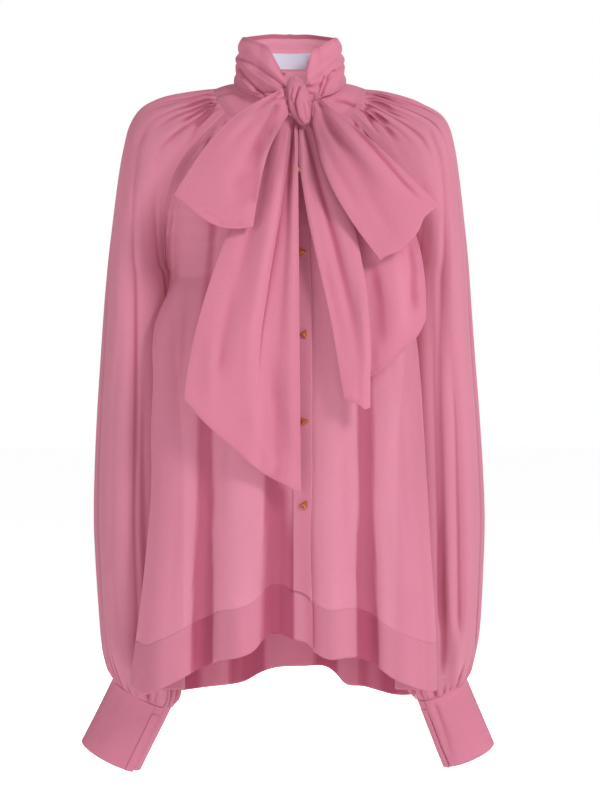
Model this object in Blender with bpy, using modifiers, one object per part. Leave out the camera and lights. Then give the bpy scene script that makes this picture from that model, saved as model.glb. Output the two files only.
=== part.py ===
"""Tie neck blouse, worn by nobody: a raglan blouse in sheer crepe, gathered under a round yoke,
with a wide hem band, long gathered sleeves on deep cuffs, and a scarf collar tied in a bow.

The garment faces -Y, +X is the wearer's left, and the origin is between the shoulders at the
base of the neck. Lengths in the tables are millimetres."""

import bmesh
import bpy
import numpy as np
from mathutils import Matrix, Vector

MM = 0.001

# Cloth walls and seams
BODY_WALL = 1.3
HEM_WALL = 2.0
YOKE_WALL = 1.5
TIE_WALL = 1.5
CUFF_WALL = 1.8
SEAM_GAP = 0.45
YOKE_GAP = 0.9
UNDERARM_GAP = 0.8

# Stations along a sleeve: 0 at the yoke, 9 at the underarm, 19 at the cuff seam
UNDERARM = 9.0
CUFF_SEAM = 19.0
SLEEVE_CENTRE_Y = 3.0
FRONT_HALF_ANGLE = 55.0
LEFT_SHOULDER_DROP = 5.5
RIGHT_SLEEVE_SWELL = 4.5

# Hem, placket and studs
HEM_BAND = 57.0
SIDE_HEM_Z = -712.0
PLACKET_HALF_WIDTH = 11.0
UNDERLAP = 9.0
PLACKET_RISE = 2.3
PLACKET_WALL = 1.2
STUD_CLEAR = 0.35
LAP_DEPTH = 4.0
STUD_RADIUS = 6.6
STUD_HEIGHT = 5.5
STUDS = {"stud_1": (-97.0, 90), "stud_2": (-195.0, 30), "stud_3": (-290.0, 90), "stud_4": (-391.0, 30),
         "stud_5": (-487.0, 90)}

# Cuffs: where each band's top is centred, how far it swings out from the body, and its half width
CUFF_HEIGHT = 94.0
CUFFS = {"right": (-176.0, -716.0, 26.5, 39.5), "left": (181.0, -711.0, 22.5, 33.5)}
CUFF_HALF_DEPTH = 23.0
CUFF_LEAN = 19.0
CUFF_OVERLAP = 35.0
CUFF_EDGE = {"right": 42.0, "left": 24.0}
CUFF_LAYERS = 3.4

# The knot of the bow, an upright egg that leans to the wearer's left as it goes down
KNOT_CENTRE = (11.0, -78.0, -15.5)
KNOT_RADII = (14.5, 12.5, 33.0)
KNOT_LEAN = 13.0
KNOT_TILT = 18.0

# The woven label inside the back of the collar
LABEL_SIZE = (52.0, 19.0, 0.6)
LABEL_Z = 48.0
LABEL_GAP = 0.95

PINK = (0.62, 0.19, 0.29)
TIE_PINK = (0.60, 0.18, 0.28)
GOLD = (0.75, 0.47, 0.15)
LABEL_WHITE = (0.72, 0.76, 0.82)


class Table:
    """Sizes at a few stations, read anywhere between them along smooth curves."""

    def __init__(self, columns, *rows):
        self.columns = columns.split()
        self.rows = np.array(rows, float)

    def __call__(self, name, at):
        stations, values = self.rows[:, 0], self.rows[:, self.columns.index(name)]
        at = np.clip(at, stations[0], stations[-1])
        slopes = np.gradient(values, stations)
        i = np.clip(np.searchsorted(stations, at, side="right") - 1, 0, len(stations) - 2)
        width = stations[i + 1] - stations[i]
        t = (at - stations[i]) / width
        rise = values[i + 1] - values[i]
        bend = (slopes[i] * width - rise) * (1 - t) - (slopes[i + 1] * width - rise) * t
        return values[i] + t * rise + t * (1 - t) * bend


SLEEVE = Table(
    "station outer_x outer_z inner_x inner_z half_depth half_turn tilt",
    (0, 91, 7, 76, -12, 75, 35, 0.30),
    (1, 124, 3, 98, -32, 78, 50, 0.28),
    (2, 155, -3, 117, -55, 82, 66, 0.22),
    (3, 178, -15, 131, -80, 84, 82, 0.15),
    (4, 191, -35, 140, -106, 84, 100, 0.10),
    (5, 198, -65, 146, -132, 82, 118, 0.05),
    (6, 203, -100, 149, -158, 79, 138, 0.02),
    (7, 208, -145, 150, -184, 76, 158, 0.0),
    (8, 213, -190, 149, -206, 73, 171, 0.0),
    (9, 216, -225, 147, -216, 70, 180, 0.0),
    (10, 219, -265, 144, -262, 66, 180, 0.0),
    (11, 223, -320, 141, -320, 63, 180, 0.0),
    (12, 228, -385, 139, -385, 61, 180, 0.0),
    (13, 232, -450, 139, -452, 60, 180, 0.0),
    (14, 234, -510, 139, -515, 60, 180, 0.0),
    (15, 232, -570, 138, -578, 59, 180, 0.0),
    (16, 229, -620, 137, -634, 56, 180, 0.0),
    (17, 225, -655, 137, -678, 48, 180, 0.0),
    (18, 219, -680, 140, -710, 34, 180, 0.0),
    (19, 212, -700, 148, -728, 23, 180, 0.0),
)

# The middle of the front and of the back, and how far round a level line reaches to the raglan seam
CENTRES = Table(
    "station front_y front_z back_y back_z half_angle",
    (0, -72, -54, 78, -14, 55),
    (1, -80, -67, 86, -32, 59),
    (2, -88, -83, 93, -54, 63),
    (3, -95, -100, 98, -78, 67),
    (4, -101, -118, 102, -104, 72),
    (5, -107, -138, 104, -130, 76),
    (6, -112, -160, 105, -156, 80),
    (7, -116, -184, 105, -182, 84),
    (8, -119, -206, 104, -206, 87),
    (9, -121, -226, 103, -226, 90),
)

# Rings of the body from the underarm (0) to the hem (1); the sides are pinched in beside the sleeves
BODY = Table(
    "down half_width pinch square front back right_flare",
    (0.00, 146.2, 0.00, 1.00, 124, 100, 0.00),
    (0.05, 155, 0.072, 0.94, 126, 100, 0.07),
    (0.11, 166, 0.146, 0.87, 127, 100, 0.10),
    (0.17, 174, 0.195, 0.82, 127, 101, 0.08),
    (0.23, 179, 0.232, 0.80, 127, 101, 0.05),
    (0.37, 188, 0.303, 0.78, 127, 103, 0.03),
    (0.51, 194, 0.335, 0.76, 127, 105, 0.00),
    (0.65, 199, 0.355, 0.75, 128, 108, 0.01),
    (0.79, 204, 0.370, 0.72, 129, 111, 0.03),
    (0.91, 207, 0.383, 0.70, 130, 114, 0.06),
    (1.00, 208, 0.390, 0.70, 131, 116, 0.085),
)
FLARE_ANGLE = 56.0
PINCH_ANGLE = 25.0

FRONT_HEM = Table(
    "x z",
    (-184, -700), (-169, -708), (-150, -702), (-115, -683), (-84, -667), (-57, -662), (-40, -654),
    (-29, -642), (-18, -636), (0, -641), (20, -648), (29, -657), (42, -664), (66, -663), (84, -664),
    (99, -673), (120, -689), (145, -700), (166, -705), (184, -700),
)
BACK_HEM = Table(
    "x z",
    (-184, -722), (-143, -727), (-98, -721), (-52, -714), (-36, -705), (-20, -699), (16, -697),
    (48, -700), (58, -707), (68, -717), (92, -722), (130, -732), (156, -730), (184, -722),
)

# Long folds of the body: where each starts under the yoke and ends at the hem, its half width
# there, and how far it stands out (or sinks in) at the hem
FRONT_FOLDS = Table(
    "number top_x hem_x width rise top_rise",
    (0, -104, -146, 24, 5, 1.5),
    (1, -84, -101, 13, -8, -2.5),
    (2, -58, -60, 21, 6, 2.0),
    (3, -26, -18, 9, -8, -1.5),
    (4, 34, 47, 22, 5, 1.5),
    (5, 62, 90, 12, -8, -2.5),
    (6, 88, 132, 22, 5, 2.0),
)
BACK_FOLDS = Table(
    "number top_x hem_x width rise top_rise",
    (0, -100, -140, 24, 6, 2.0),
    (1, -76, -92, 15, -7, -2.5),
    (2, -44, -44, 16, 6, 2.0),
    (3, -14, -4, 18, -7, -2.0),
    (4, 26, 44, 15, 6, 2.0),
    (5, 60, 70, 11, -8, -2.5),
    (6, 96, 128, 24, 6, 2.0),
)
FRONT_GATHERS = 4
BACK_GATHERS = 8
SLEEVE_GATHERS = 7
CUFF_GATHERS = 7
GATHER_DEPTH = 2.6

# Long folds of a sleeve below the shoulder: place round it (1 front seam, 0 outside, -1 back), half
# width round it, and height
SLEEVE_FOLDS = Table(
    "number place width rise",
    (0, 0.86, 0.05, -5),
    (1, 0.70, 0.07, 1.5),
    (2, 0.52, 0.05, -5),
    (3, 0.34, 0.08, 4),
    (4, 0.14, 0.06, -3),
    (5, -0.16, 0.08, -3),
    (6, -0.36, 0.07, 4),
    (7, -0.56, 0.06, -5),
    (8, -0.78, 0.07, 1.5),
)

# Scarf collar: its lower and upper edges round the neck, from the knot (0 degrees) to the back (180)
COLLAR = Table(
    "angle low high_right high_left",
    (7, -20, 19, 8),
    (17, -16, 38, 25),
    (23, -13, 48, 41),
    (38, -7, 57, 52),
    (63, 2.5, 66, 65),
    (90, 15, 69, 68),
    (130, 15.5, 76, 75),
    (180, 8.5, 85, 85),
)
COLLAR_RADII = (60.0, 59.0)
COLLAR_ENDS = (16.9, 356.2)

# Bow loops: corners of the folded end, the bow-out of the middle, and depths
LOOPS = {
    "right": dict(end_high=(-132, -131), end_low=(-42, -168), root_high=(-5.3, -2), root_low=(0.0, -30),
                  bow_high=(-9, 13), bow_low=(-7, 8), sag=6.0),
    "left": dict(end_high=(171, -143), end_low=(104, -206), root_high=(24.7, -6), root_low=(28.6, -34),
                 bow_high=(0, 3), bow_low=(-17, -3), sag=-3.0),
}
LOOP_DEPTHS = Table("out middle half_gap", (0, -80, 3.4), (0.15, -91, 6.0), (0.4, -125, 7.5), (0.7, -142, 10),
                    (1, -147, 9))

# Bow tails: threads from the knot to the end. Layer is how far each lies behind the tail's middle.
TAILS = {
    "right": Table(
        "across root_x end_x end_z spread layer",
        (0.00, -7, -121, -366, 1.5, 0),
        (0.15, -5, -98, -391, 1.5, -4),
        (0.35, -2, -66, -420, 1.4, -6),
        (0.52, 0, -42, -441, 1.3, -5),
        (0.62, 2, -30, -450, 1.2, 1),
        (0.72, 3, -18, -457, 1.1, 4),
        (0.88, 6, 1, -467, 1.0, 1),
        (1.00, 9, 13, -474, 1.0, 2),
    ),
    "left": Table(
        "across root_x end_x end_z spread layer",
        (0.00, 11, 63, -365, 0.95, -5),
        (0.20, 13, 78, -371, 1.6, -7.5),
        (0.36, 15, 89, -376, 2.9, -6.5),
        (0.41, 16, 92.5, -373, 3.0, -3.0),
        (0.46, 17, 84, -362, 2.9, -0.5),
        (0.51, 18, 77, -352, 2.8, 3.0),
        (0.56, 19, 84, -346, 2.9, 6.0),
        (0.78, 22, 122, -318, 2.9, 4.5),
        (0.92, 24, 148, -291, 2.8, 5.5),
        (1.00, 25, 157, -273, 2.7, 6.0),
    ),
}
TAIL_ROOT_Z = -32.0
TAIL_DEPTHS = Table(
    "z right left",
    (-560, -144, -144),
    (-470, -143, -143),
    (-300, -143, -143),
    (-220, -140, -139),
    (-160, -131, -129),
    (-110, -117, -110),
    (-75, -96, -90),
    (-50, -79, -76.5),
    (-32, -71.6, -70.2),
)


def ease(low, high, x):
    """0 below low, 1 above high, and smooth between."""
    t = np.clip((x - low) / (high - low), 0, 1)
    return t * t * (3 - 2 * t)


def hump(x, centre, width):
    return np.exp(-(((x - centre) / width) ** 2))


def grid(*axes):
    return np.meshgrid(*axes, indexing="ij")


def stack(*parts):
    return np.stack(np.broadcast_arrays(*parts), axis=-1)


def cuff_frame(side):
    """The middle of a cuff's top, the directions down it, across it outwards and to its front, and its half width."""
    x, z, swing, half_width = CUFFS[side]
    out, angle, lean = np.sign(x), np.radians(swing), np.radians(CUFF_LEAN)
    hang = np.array([out * np.sin(angle), 0, -np.cos(angle)])
    back = np.array([0, 1.0, 0])
    down = hang * np.cos(lean) + back * np.sin(lean)
    across = np.array([out * np.cos(angle), 0, np.sin(angle)])
    front = hang * np.sin(lean) - back * np.cos(lean)
    return np.array([x, SLEEVE_CENTRE_Y, z]), down, across, front, half_width


def sleeve_point(side, station, turn):
    """A point of the sleeve's plain form. turn is 1 at the front seam, 0 on the outside, -1 behind."""
    sign = 1 if side == "left" else -1
    half_turn = np.radians(SLEEVE("half_turn", station))
    angle = turn * half_turn
    top, _, across, front, half_width = cuff_frame(side)
    settle = ease(14.5, CUFF_SEAM, station)
    ends = []
    for edge, reach in (("outer", 1), ("inner", -1)):
        cuff_end = top + reach * half_width * across
        last_x, last_z = SLEEVE(edge + "_x", CUFF_SEAM), SLEEVE(edge + "_z", CUFF_SEAM)
        ends.append((SLEEVE(edge + "_x", station) + settle * (sign * cuff_end[0] - last_x),
                     SLEEVE(edge + "_z", station) + settle * (cuff_end[2] - last_z)))
    (outer_x, outer_z), (inner_x, inner_z) = ends
    reach = 1 - np.cos(half_turn)
    arm_x, arm_z = (outer_x - inner_x) / reach, (outer_z - inner_z) / reach
    depth = SLEEVE("half_depth", station)
    forward = depth * np.sin(angle)
    y = SLEEVE_CENTRE_Y - forward * (1 - settle * (1 + front[1]))
    x = outer_x - arm_x + arm_x * np.cos(angle) + forward * settle * sign * front[0]
    z = outer_z - arm_z + arm_z * np.cos(angle) + forward * (settle * front[2] - SLEEVE("tilt", station))
    if side == "left":
        z = z - LEFT_SHOULDER_DROP * hump(station, 2.5, 1.6) * (1 - turn**2)
    else:
        x = x + RIGHT_SLEEVE_SWELL * hump(station, 9, 5) * (1 - turn**2)
    return stack(sign * x, y, z)


def body_point(station, share, behind=False):
    """A point of the body's plain form. share is 0 at the middle and +-1 at the side (or raglan seam).

    Stations 0 to 9 run from the yoke to the underarm, and 9 to 10 from the underarm to the hem."""
    above = np.minimum(station, UNDERARM)
    down = np.clip(station - UNDERARM, 0, 1)
    seam = sleeve_point("left", above, -1.0 if behind else 1.0)
    name = "back" if behind else "front"
    middle_y, middle_z = CENTRES(name + "_y", above), CENTRES(name + "_z", above)
    half_angle = np.radians(CENTRES("half_angle", above))
    angle = np.abs(share) * half_angle
    gap = UNDERARM_GAP * ease(4, UNDERARM, above)
    fall = (1 - np.cos(angle)) / (1 - np.cos(half_angle))
    x_high = (seam[..., 0] - gap) * np.sin(angle) / np.sin(half_angle)
    y_high = middle_y + (seam[..., 1] - middle_y) * fall
    z_high = middle_z + (seam[..., 2] - middle_z) * fall
    square = BODY("square", down)
    pinch = BODY("pinch", down) * hump(np.degrees(angle), 90, PINCH_ANGLE)
    flare = BODY("right_flare", down) * hump(np.degrees(angle), FLARE_ANGLE, 16) * (share < 0) * (not behind)
    x_low = BODY("half_width", down) * np.sin(angle) ** square * (1 - pinch + flare)
    depth = -BODY(name, down) if not behind else BODY(name, down)
    y_low = seam[..., 1] + depth * np.abs(np.cos(angle)) ** square
    low = station > UNDERARM
    x = np.where(low, x_low, x_high) * np.sign(share)
    hem = (BACK_HEM if behind else FRONT_HEM)("z", x)
    hem = hem + (SIDE_HEM_Z - hem) * hump(np.degrees(angle), 90, PINCH_ANGLE)
    z = np.where(low, z_high + down * (hem - z_high), z_high)
    return stack(x, np.where(low, y_low, y_high), z)


def outward(share, half_angle, behind=False):
    """The level direction that points out of the body at a share of the way round."""
    angle = share * half_angle
    return stack(np.sin(angle), (1 if behind else -1) * np.cos(angle), np.zeros_like(angle))


def body_form(station, share, behind=False):
    """The body with its gathers under the yoke and its long folds, outer surface."""
    plain = body_point(station, share, behind)
    folds = BACK_FOLDS if behind else FRONT_FOLDS
    down = np.clip((station - 1) / 9, 0, 1)
    out = np.zeros_like(plain[..., 0])
    for n in folds.rows[:, 0]:
        x = folds("top_x", n) + (folds("hem_x", n) - folds("top_x", n)) * down
        width = folds("width", n) * (0.55 + 0.45 * down)
        rise = folds("top_rise", n) * ease(0.5, 2.5, station) + (folds("rise", n) - folds("top_rise", n)) * down**2
        out = out + rise * hump(plain[..., 0], x, width)
    gathers = BACK_GATHERS if behind else FRONT_GATHERS
    waves = 0.5 - 0.5 * np.cos(np.pi * (gathers if behind else 2 * gathers) * share)
    flat = 0 if behind else hump(plain[..., 0], 9, 16)
    out = out - GATHER_DEPTH * waves * ease(0, 0.7, station) * (1 - ease(0.7, 3.4, station)) * (1 - flat)
    away = outward(share, np.radians(80), behind)
    return plain + (out * (1 - ease(0.58, 0.8, np.abs(share))))[..., None] * away


def sleeve_form(side, station, turn):
    """The sleeve with the gathers at the yoke and at the cuff and its long folds."""
    plain = sleeve_point(side, station, turn)
    middle = sleeve_point(side, station, turn * 0)
    inside = sleeve_point(side, station, np.ones_like(turn))
    centre = 0.5 * (middle + inside)
    centre[..., 1] = SLEEVE_CENTRE_Y
    away = plain - centre
    away = away / np.linalg.norm(away, axis=-1, keepdims=True)
    seam = 1 - ease(0.88, 0.99, np.abs(turn)) * (1 - ease(UNDERARM + 0.5, UNDERARM + 2, station))
    top = -GATHER_DEPTH * (0.5 - 0.5 * np.cos(2 * np.pi * SLEEVE_GATHERS * (turn + 1) / 2))
    top = top * ease(0, 0.7, station) * (1 - ease(0.7, 3.6, station))
    folds = np.zeros_like(top)
    for n in SLEEVE_FOLDS.rows[:, 0]:
        folds = folds + SLEEVE_FOLDS("rise", n) * hump(turn, SLEEVE_FOLDS("place", n), SLEEVE_FOLDS("width", n))
    folds = folds * ease(3, 11, station) * (1 - ease(16.5, 18.6, station))
    low = (0.5 + 0.5 * np.cos(np.pi * (turn + 1) * CUFF_GATHERS)) * ease(15.5, 18, station) * 3.6
    low = low * (1 - 0.75 * ease(18.3, CUFF_SEAM, station))
    return plain + ((top + folds) * seam + low)[..., None] * away


def front_line(z):
    """The x of the middle of the placket, which the tied bow pulls a little to the wearer's left."""
    return 9 + 6.5 * ease(60, 300, -z)


def share_at(station, x, behind=False):
    """The share of the way round the body at which a level line passes x."""
    shares = np.linspace(-1, 1, 401)
    xs = body_point(np.full_like(shares, station), shares, behind)[:, 0]
    return float(np.interp(x, xs, shares))


def mesh_object(name, vertices, faces, colour, metallic=0.0, roughness=0.85):
    mesh = bpy.data.meshes.new(name)
    mesh.from_pydata([tuple(v) for v in vertices], [], faces)
    mesh.validate()
    body = bmesh.new()
    body.from_mesh(mesh)
    bmesh.ops.remove_doubles(body, verts=body.verts, dist=0.00001)
    body.to_mesh(mesh)
    body.free()
    obj = bpy.data.objects.new(name, mesh)
    BLOUSE.objects.link(obj)
    mesh.shade_smooth()
    mesh.set_sharp_from_angle(angle=np.radians(50))
    material = bpy.data.materials.get(name) or bpy.data.materials.new(name)
    material.use_nodes = True
    shader = material.node_tree.nodes["Principled BSDF"]
    shader.inputs["Base Color"].default_value = (*colour, 1)
    shader.inputs["Metallic"].default_value = metallic
    shader.inputs["Roughness"].default_value = roughness
    mesh.materials.append(material)
    return obj


def quads(rows, columns, closed=False, flip=False):
    faces = []
    for r in range(rows - 1):
        for c in range(columns if closed else columns - 1):
            d = (c + 1) % columns
            face = (r * columns + c, r * columns + d, (r + 1) * columns + d, (r + 1) * columns + c)
            faces.append(face[::-1] if flip else face)
    return faces


def cloth(name, points, wall, colour=PINK, closed=False, flip=False):
    """A wall of cloth whose outer surface is a grid of points in millimetres, thickened inwards."""
    rows, columns = points.shape[:2]
    obj = mesh_object(name, points.reshape(-1, 3) * MM, quads(rows, columns, closed, flip), colour)
    thick = obj.modifiers.new("wall", "SOLIDIFY")
    thick.thickness = wall * MM
    thick.offset = -1
    thick.use_even_offset = False
    return obj


def inset(points, start=0.0, end=0.0, top=0.0, bottom=0.0):
    """The grid with its edges drawn in by these distances along the cloth."""
    points = points.copy()
    for edge, inner, distance in ((0, 1, start), (-1, -2, end)):
        step = points[:, inner] - points[:, edge]
        points[:, edge] += step * (distance / np.linalg.norm(step, axis=-1, keepdims=True))
    for edge, inner, distance in ((0, 1, top), (-1, -2, bottom)):
        step = points[inner] - points[edge]
        points[edge] += step * (distance / np.linalg.norm(step, axis=-1, keepdims=True))
    return points


UPPER = (0, 0.7, 1.5, 2.5, 3.7, 5.0, 6.4, 7.8, 9)
LOWER = (9.09, 9.22, 9.37, 9.52, 9.67, 9.8)


def band_station(station_top, share, behind):
    """The station, for each share, at which the hem band's top seam runs."""
    hem = body_point(np.full_like(share, 10.0), share, behind)
    under = body_point(np.full_like(share, UNDERARM), share, behind)
    length = under[..., 2] - hem[..., 2]
    return 10 - HEM_BAND / length + 0 * station_top


def panel_grid(shares, stations, behind=False):
    """Points of a body panel. shares gives the two edges at each station; the last row is the band seam."""
    rows = []
    for station, share in zip(stations, shares):
        share = np.asarray(share)
        top = band_station(0, share, behind)
        squeezed = UNDERARM + (station - UNDERARM) * (top - UNDERARM) if station > UNDERARM else station
        rows.append(body_form(squeezed + 0 * share, share, behind))
    return np.array(rows)


def band_grid(shares, behind=False, rows=3):
    top = band_station(0, shares, behind)
    return np.array([body_form(top + (10 - top) * t, shares, behind) for t in np.linspace(0, 1, rows)])


def build_body():
    stations = UPPER + LOWER[1:-1] + (10.0,)
    right, left = [], []
    for station in stations:
        z = body_point(np.array([station]), np.array([0.0]))[0, 2]
        line = front_line(z)
        at = {reach: share_at(station, line + reach) for reach in (-13, -UNDERLAP, 0, PLACKET_HALF_WIDTH, 13)}
        right.append([*np.linspace(-1, at[-13], 14), at[0], at[PLACKET_HALF_WIDTH]])
        left.append([at[-UNDERLAP], at[0], *np.linspace(at[13], 1, 14)])
    fronts = {"front_right": panel_grid(right, stations), "front_left": panel_grid(left, stations)}
    bands = {"hem_band_right": band_grid(np.array(right[-1])), "hem_band_left": band_grid(np.array(left[-1]))}
    for group in (fronts, bands):
        for name, points in group.items():
            if name.endswith("left"):
                group[name] = tuck_under(points, LAP_DEPTH)
    for name, points in fronts.items():
        sides = dict(start=SEAM_GAP) if name.endswith("right") else dict(end=SEAM_GAP)
        cloth(name, inset(points, **sides, bottom=SEAM_GAP), BODY_WALL, flip=True)
    for name, points in bands.items():
        sides = dict(start=SEAM_GAP) if name.endswith("right") else dict(end=SEAM_GAP)
        cloth(name, inset(points, **sides), HEM_WALL, flip=True)
    shares = np.linspace(-1, 1, 27)
    back = panel_grid([shares] * len(stations), stations, behind=True)
    cloth("back", inset(back, start=SEAM_GAP, end=SEAM_GAP, bottom=SEAM_GAP), BODY_WALL)
    band = band_grid(shares, behind=True)
    cloth("hem_band_back", inset(band, start=SEAM_GAP, end=SEAM_GAP), HEM_WALL)
    return fronts["front_right"]


def tuck_under(points, depth):
    """The left front passes behind the right one along the placket."""
    points = points.copy()
    line = front_line(points[..., 2])
    lap = 1 - ease(PLACKET_HALF_WIDTH + 8, PLACKET_HALF_WIDTH + 34, points[..., 0] - line)
    points[..., 1] += depth * lap
    return points


def build_sleeves():
    turns = np.linspace(1, -1, 29)
    stations = UPPER + (10.3, 12, 13.7, 15.2, 16.4, 17.4, 18.2, 19)
    for side in ("right", "left"):
        rows = []
        for station in stations:
            rows.append(sleeve_form(side, np.full_like(turns, station), turns))
        points = np.array(rows)
        under = [i for i, s in enumerate(stations) if s < UNDERARM]
        upper = inset(points, start=SEAM_GAP, end=SEAM_GAP, bottom=SEAM_GAP)
        points[: under[-1] + 1] = upper[: under[-1] + 1]
        points[-1] = upper[-1]
        points[under[-1] + 1 :, -1] = points[under[-1] + 1 :, 0]
        cloth("sleeve_" + side, points, BODY_WALL, flip=side == "left")


def build_cuffs():
    lengths = np.array([0.0, 0.5, 1.0]) * CUFF_HEIGHT
    for side in ("right", "left"):
        top, down, across, front, half_width = cuff_frame(side)
        start = CUFF_EDGE[side]
        length, turn = grid(lengths, np.linspace(start, start + 360 + CUFF_OVERLAP, 30))
        spiral = CUFF_LAYERS * (1 - (turn - start) / (360 + CUFF_OVERLAP))
        turn = np.radians(turn)
        grow = 1 + 0.03 * length / CUFF_HEIGHT
        wide = -(half_width * grow - 2 + spiral) * np.cos(turn)
        deep = (CUFF_HALF_DEPTH * grow - 2 + spiral) * np.sign(np.sin(turn)) * np.abs(np.sin(turn)) ** 0.9
        points = top + down * (length + SEAM_GAP)[..., None] + across * wide[..., None] + front * deep[..., None]
        cloth("cuff_" + side, points, CUFF_WALL, flip=side == "left")


def yoke_edge(angle):
    """The outer edge of the round yoke, angle in degrees from the middle of the front, either way."""
    sign, turn = np.sign(angle), np.abs(angle)
    zero = np.zeros_like(turn)
    front = body_point(zero, np.clip(turn / FRONT_HALF_ANGLE, 0, 1))
    side = sleeve_point("left", zero, np.clip((90 - turn) / 35, -1, 1))
    back = body_point(zero, np.clip((180 - turn) / FRONT_HALF_ANGLE, 0, 1), behind=True)
    part = np.where((turn < FRONT_HALF_ANGLE)[..., None], front, side)
    part = np.where((turn > 125)[..., None], back, part)
    return part * stack(np.where(sign < 0, -1.0, 1.0), 1.0, 1.0)


def neck_seam(angle):
    """The seam of the collar, where the neck leaves the yoke."""
    turn = np.radians(angle)
    z = 8.5 - 15 * np.cos(turn) - 5.5 * np.cos(2 * turn)
    return stack(59 * np.sin(turn), 2 - 57 * np.cos(turn), z)


def build_yoke():
    angles = np.linspace(-177.6, 177.6, 39)
    angles = np.where(angles < 0, -180 - angles, 180 - angles)
    share, angle = grid(np.linspace(0, 1, 4), angles)
    edge, neck = yoke_edge(angle), neck_seam(angle)
    points = edge + (neck - edge) * share[..., None]
    points[..., 2] += 1.5 * np.sin(np.pi * share)
    cloth("yoke", inset(points, top=YOKE_GAP), YOKE_WALL, flip=True)


def collar_form(share, angle):
    """The scarf collar round the neck. share is 0 at its lower edge and 1 at its upper edge.

    The angle starts at the knot and goes round by the wearer's left side."""
    turn, near = np.radians(angle), np.minimum(angle, 360 - angle)
    low, high = COLLAR("low", near), COLLAR("high_left", near)
    high = np.where(angle > 180, COLLAR("high_right", near), high)
    climb = share - 0.45 * (1 - ease(0, 95, near)) * share
    folds = 2.4 * np.sin(2 * np.pi * (2.6 * climb + 0.1)) * (1 - ease(90, 170, near))
    out = folds + 3 * np.sin(np.pi * share) - 2 * np.clip((share - 0.82) / 0.18, 0, 1) ** 2
    out = out + 7 * (1 - share) ** 2 + 8.9 * (1 - ease(6, 36, near))
    x = (COLLAR_RADII[0] + out) * np.sin(turn)
    y = 2 - (COLLAR_RADII[1] + out) * np.cos(turn)
    return stack(x, y, low + (high - low) * share)


def build_collar():
    share, angle = grid(np.linspace(0, 1, 11), np.linspace(*COLLAR_ENDS, 34))
    cloth("tie_collar", collar_form(share, angle), TIE_WALL, TIE_PINK)


def knot_matrix():
    lean = Matrix.Rotation(np.radians(-KNOT_LEAN), 4, "Y")
    return Matrix.Translation(Vector(KNOT_CENTRE) * MM) @ Matrix.Rotation(np.radians(-KNOT_TILT), 4, "X") @ lean


def build_knot():
    bpy.ops.mesh.primitive_uv_sphere_add(segments=18, ring_count=10, radius=1)
    sphere = bpy.context.object
    vertices = []
    for vertex in sphere.data.vertices:
        p = np.array(vertex.co)
        turn = np.arctan2(p[0], -p[1])
        crease = hump(turn, 0.25 - 0.5 * p[2], 0.16)
        vertices.append(p * (1 - 0.10 * crease * (1 - p[2] ** 2)) * np.array(KNOT_RADII) * MM)
    faces = [tuple(face.vertices) for face in sphere.data.polygons]
    bpy.data.objects.remove(sphere)
    knot = mesh_object("knot", vertices, faces, TIE_PINK)
    knot.matrix_world = knot_matrix()


def loop_form(side, along, across):
    """A bow loop. along is 0 at the knot in front, 0.5 at the folded end, and 1 at the knot behind."""
    sizes = LOOPS[side]
    out = np.sin(np.pi * along)
    layer = np.cos(np.pi * along)
    corner = {name: np.array(sizes[name], float) for name in sizes if name != "sag"}
    root = corner["root_high"] + (corner["root_low"] - corner["root_high"]) * across[..., None]
    end = corner["end_high"] + (corner["end_low"] - corner["end_high"]) * across[..., None]
    bow = corner["bow_high"] + (corner["bow_low"] - corner["bow_high"]) * across[..., None]
    flat = root + (end - root) * (out**1.1)[..., None] + bow * np.sin(np.pi * out)[..., None]
    flat[..., 1] -= sizes["sag"] * np.sin(np.pi * across) * out**3
    pleats = 3.5 * np.cos(2 * np.pi * 2.5 * across) * (1 - out) ** 1.2 + 4.0 * hump(across, 0.62, 0.14) * out * (1.2 - out)
    y = LOOP_DEPTHS("middle", out) - LOOP_DEPTHS("half_gap", out) * layer + pleats * ease(0.1, 0.45, out)
    return stack(flat[..., 0], y - 3 * np.sin(np.pi * across) * out, flat[..., 1])


def build_loops():
    for side in ("right", "left"):
        along = 0.5 + 0.5 * np.sin(np.linspace(-1, 1, 17) * np.pi / 2) * 0.985
        along, across = grid(along, np.linspace(0, 1, 12))
        cloth("bow_loop_" + side, loop_form(side, along, across), TIE_WALL, TIE_PINK, flip=side == "right")


def tail_form(side, down, across):
    """A bow tail. down is 0 at the knot and 1 at the cut end."""
    threads = TAILS[side]
    end_z = threads("end_z", across)
    z = TAIL_ROOT_Z + (end_z - TAIL_ROOT_Z) * down
    opened = 1 - (1 - down) ** threads("spread", across)
    x = threads("root_x", across) + (threads("end_x", across) - threads("root_x", across)) * opened
    layer = threads("layer", across) * np.clip(down / 0.2, 0, 1) ** 0.75
    return stack(x, TAIL_DEPTHS(side, z) + layer, z)


def build_tails():
    for side, columns in (("right", 14), ("left", 22)):
        down, across = grid(np.linspace(0, 1, 13) ** 1.15, np.linspace(0, 1, columns))
        cloth("bow_tail_" + side, tail_form(side, down, across), TIE_WALL, TIE_PINK, flip=True)


def strip_on(rows, low, high, columns, rise):
    """Points over the rows of a panel, from low to high either side of the placket line, moved out."""
    strip = []
    for row in rows:
        line = front_line(np.interp(front_line(row[0, 2]), row[:, 0], row[:, 2]))
        xs = line + np.linspace(low, high, columns)
        strip.append(stack(*(np.interp(xs, row[:, 0], row[:, k]) for k in range(3))) - (0, rise, 0))
    return np.array(strip)


def build_placket(front):
    """The placket strip lies on the right front's edge; it is made from the panel's own points."""
    edge = PLACKET_HALF_WIDTH - 0.3
    points = strip_on(front[1:], -PLACKET_HALF_WIDTH, edge, 5, PLACKET_RISE)
    cloth("placket", inset(points, bottom=SEAM_GAP), PLACKET_WALL, flip=True)
    return points


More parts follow.
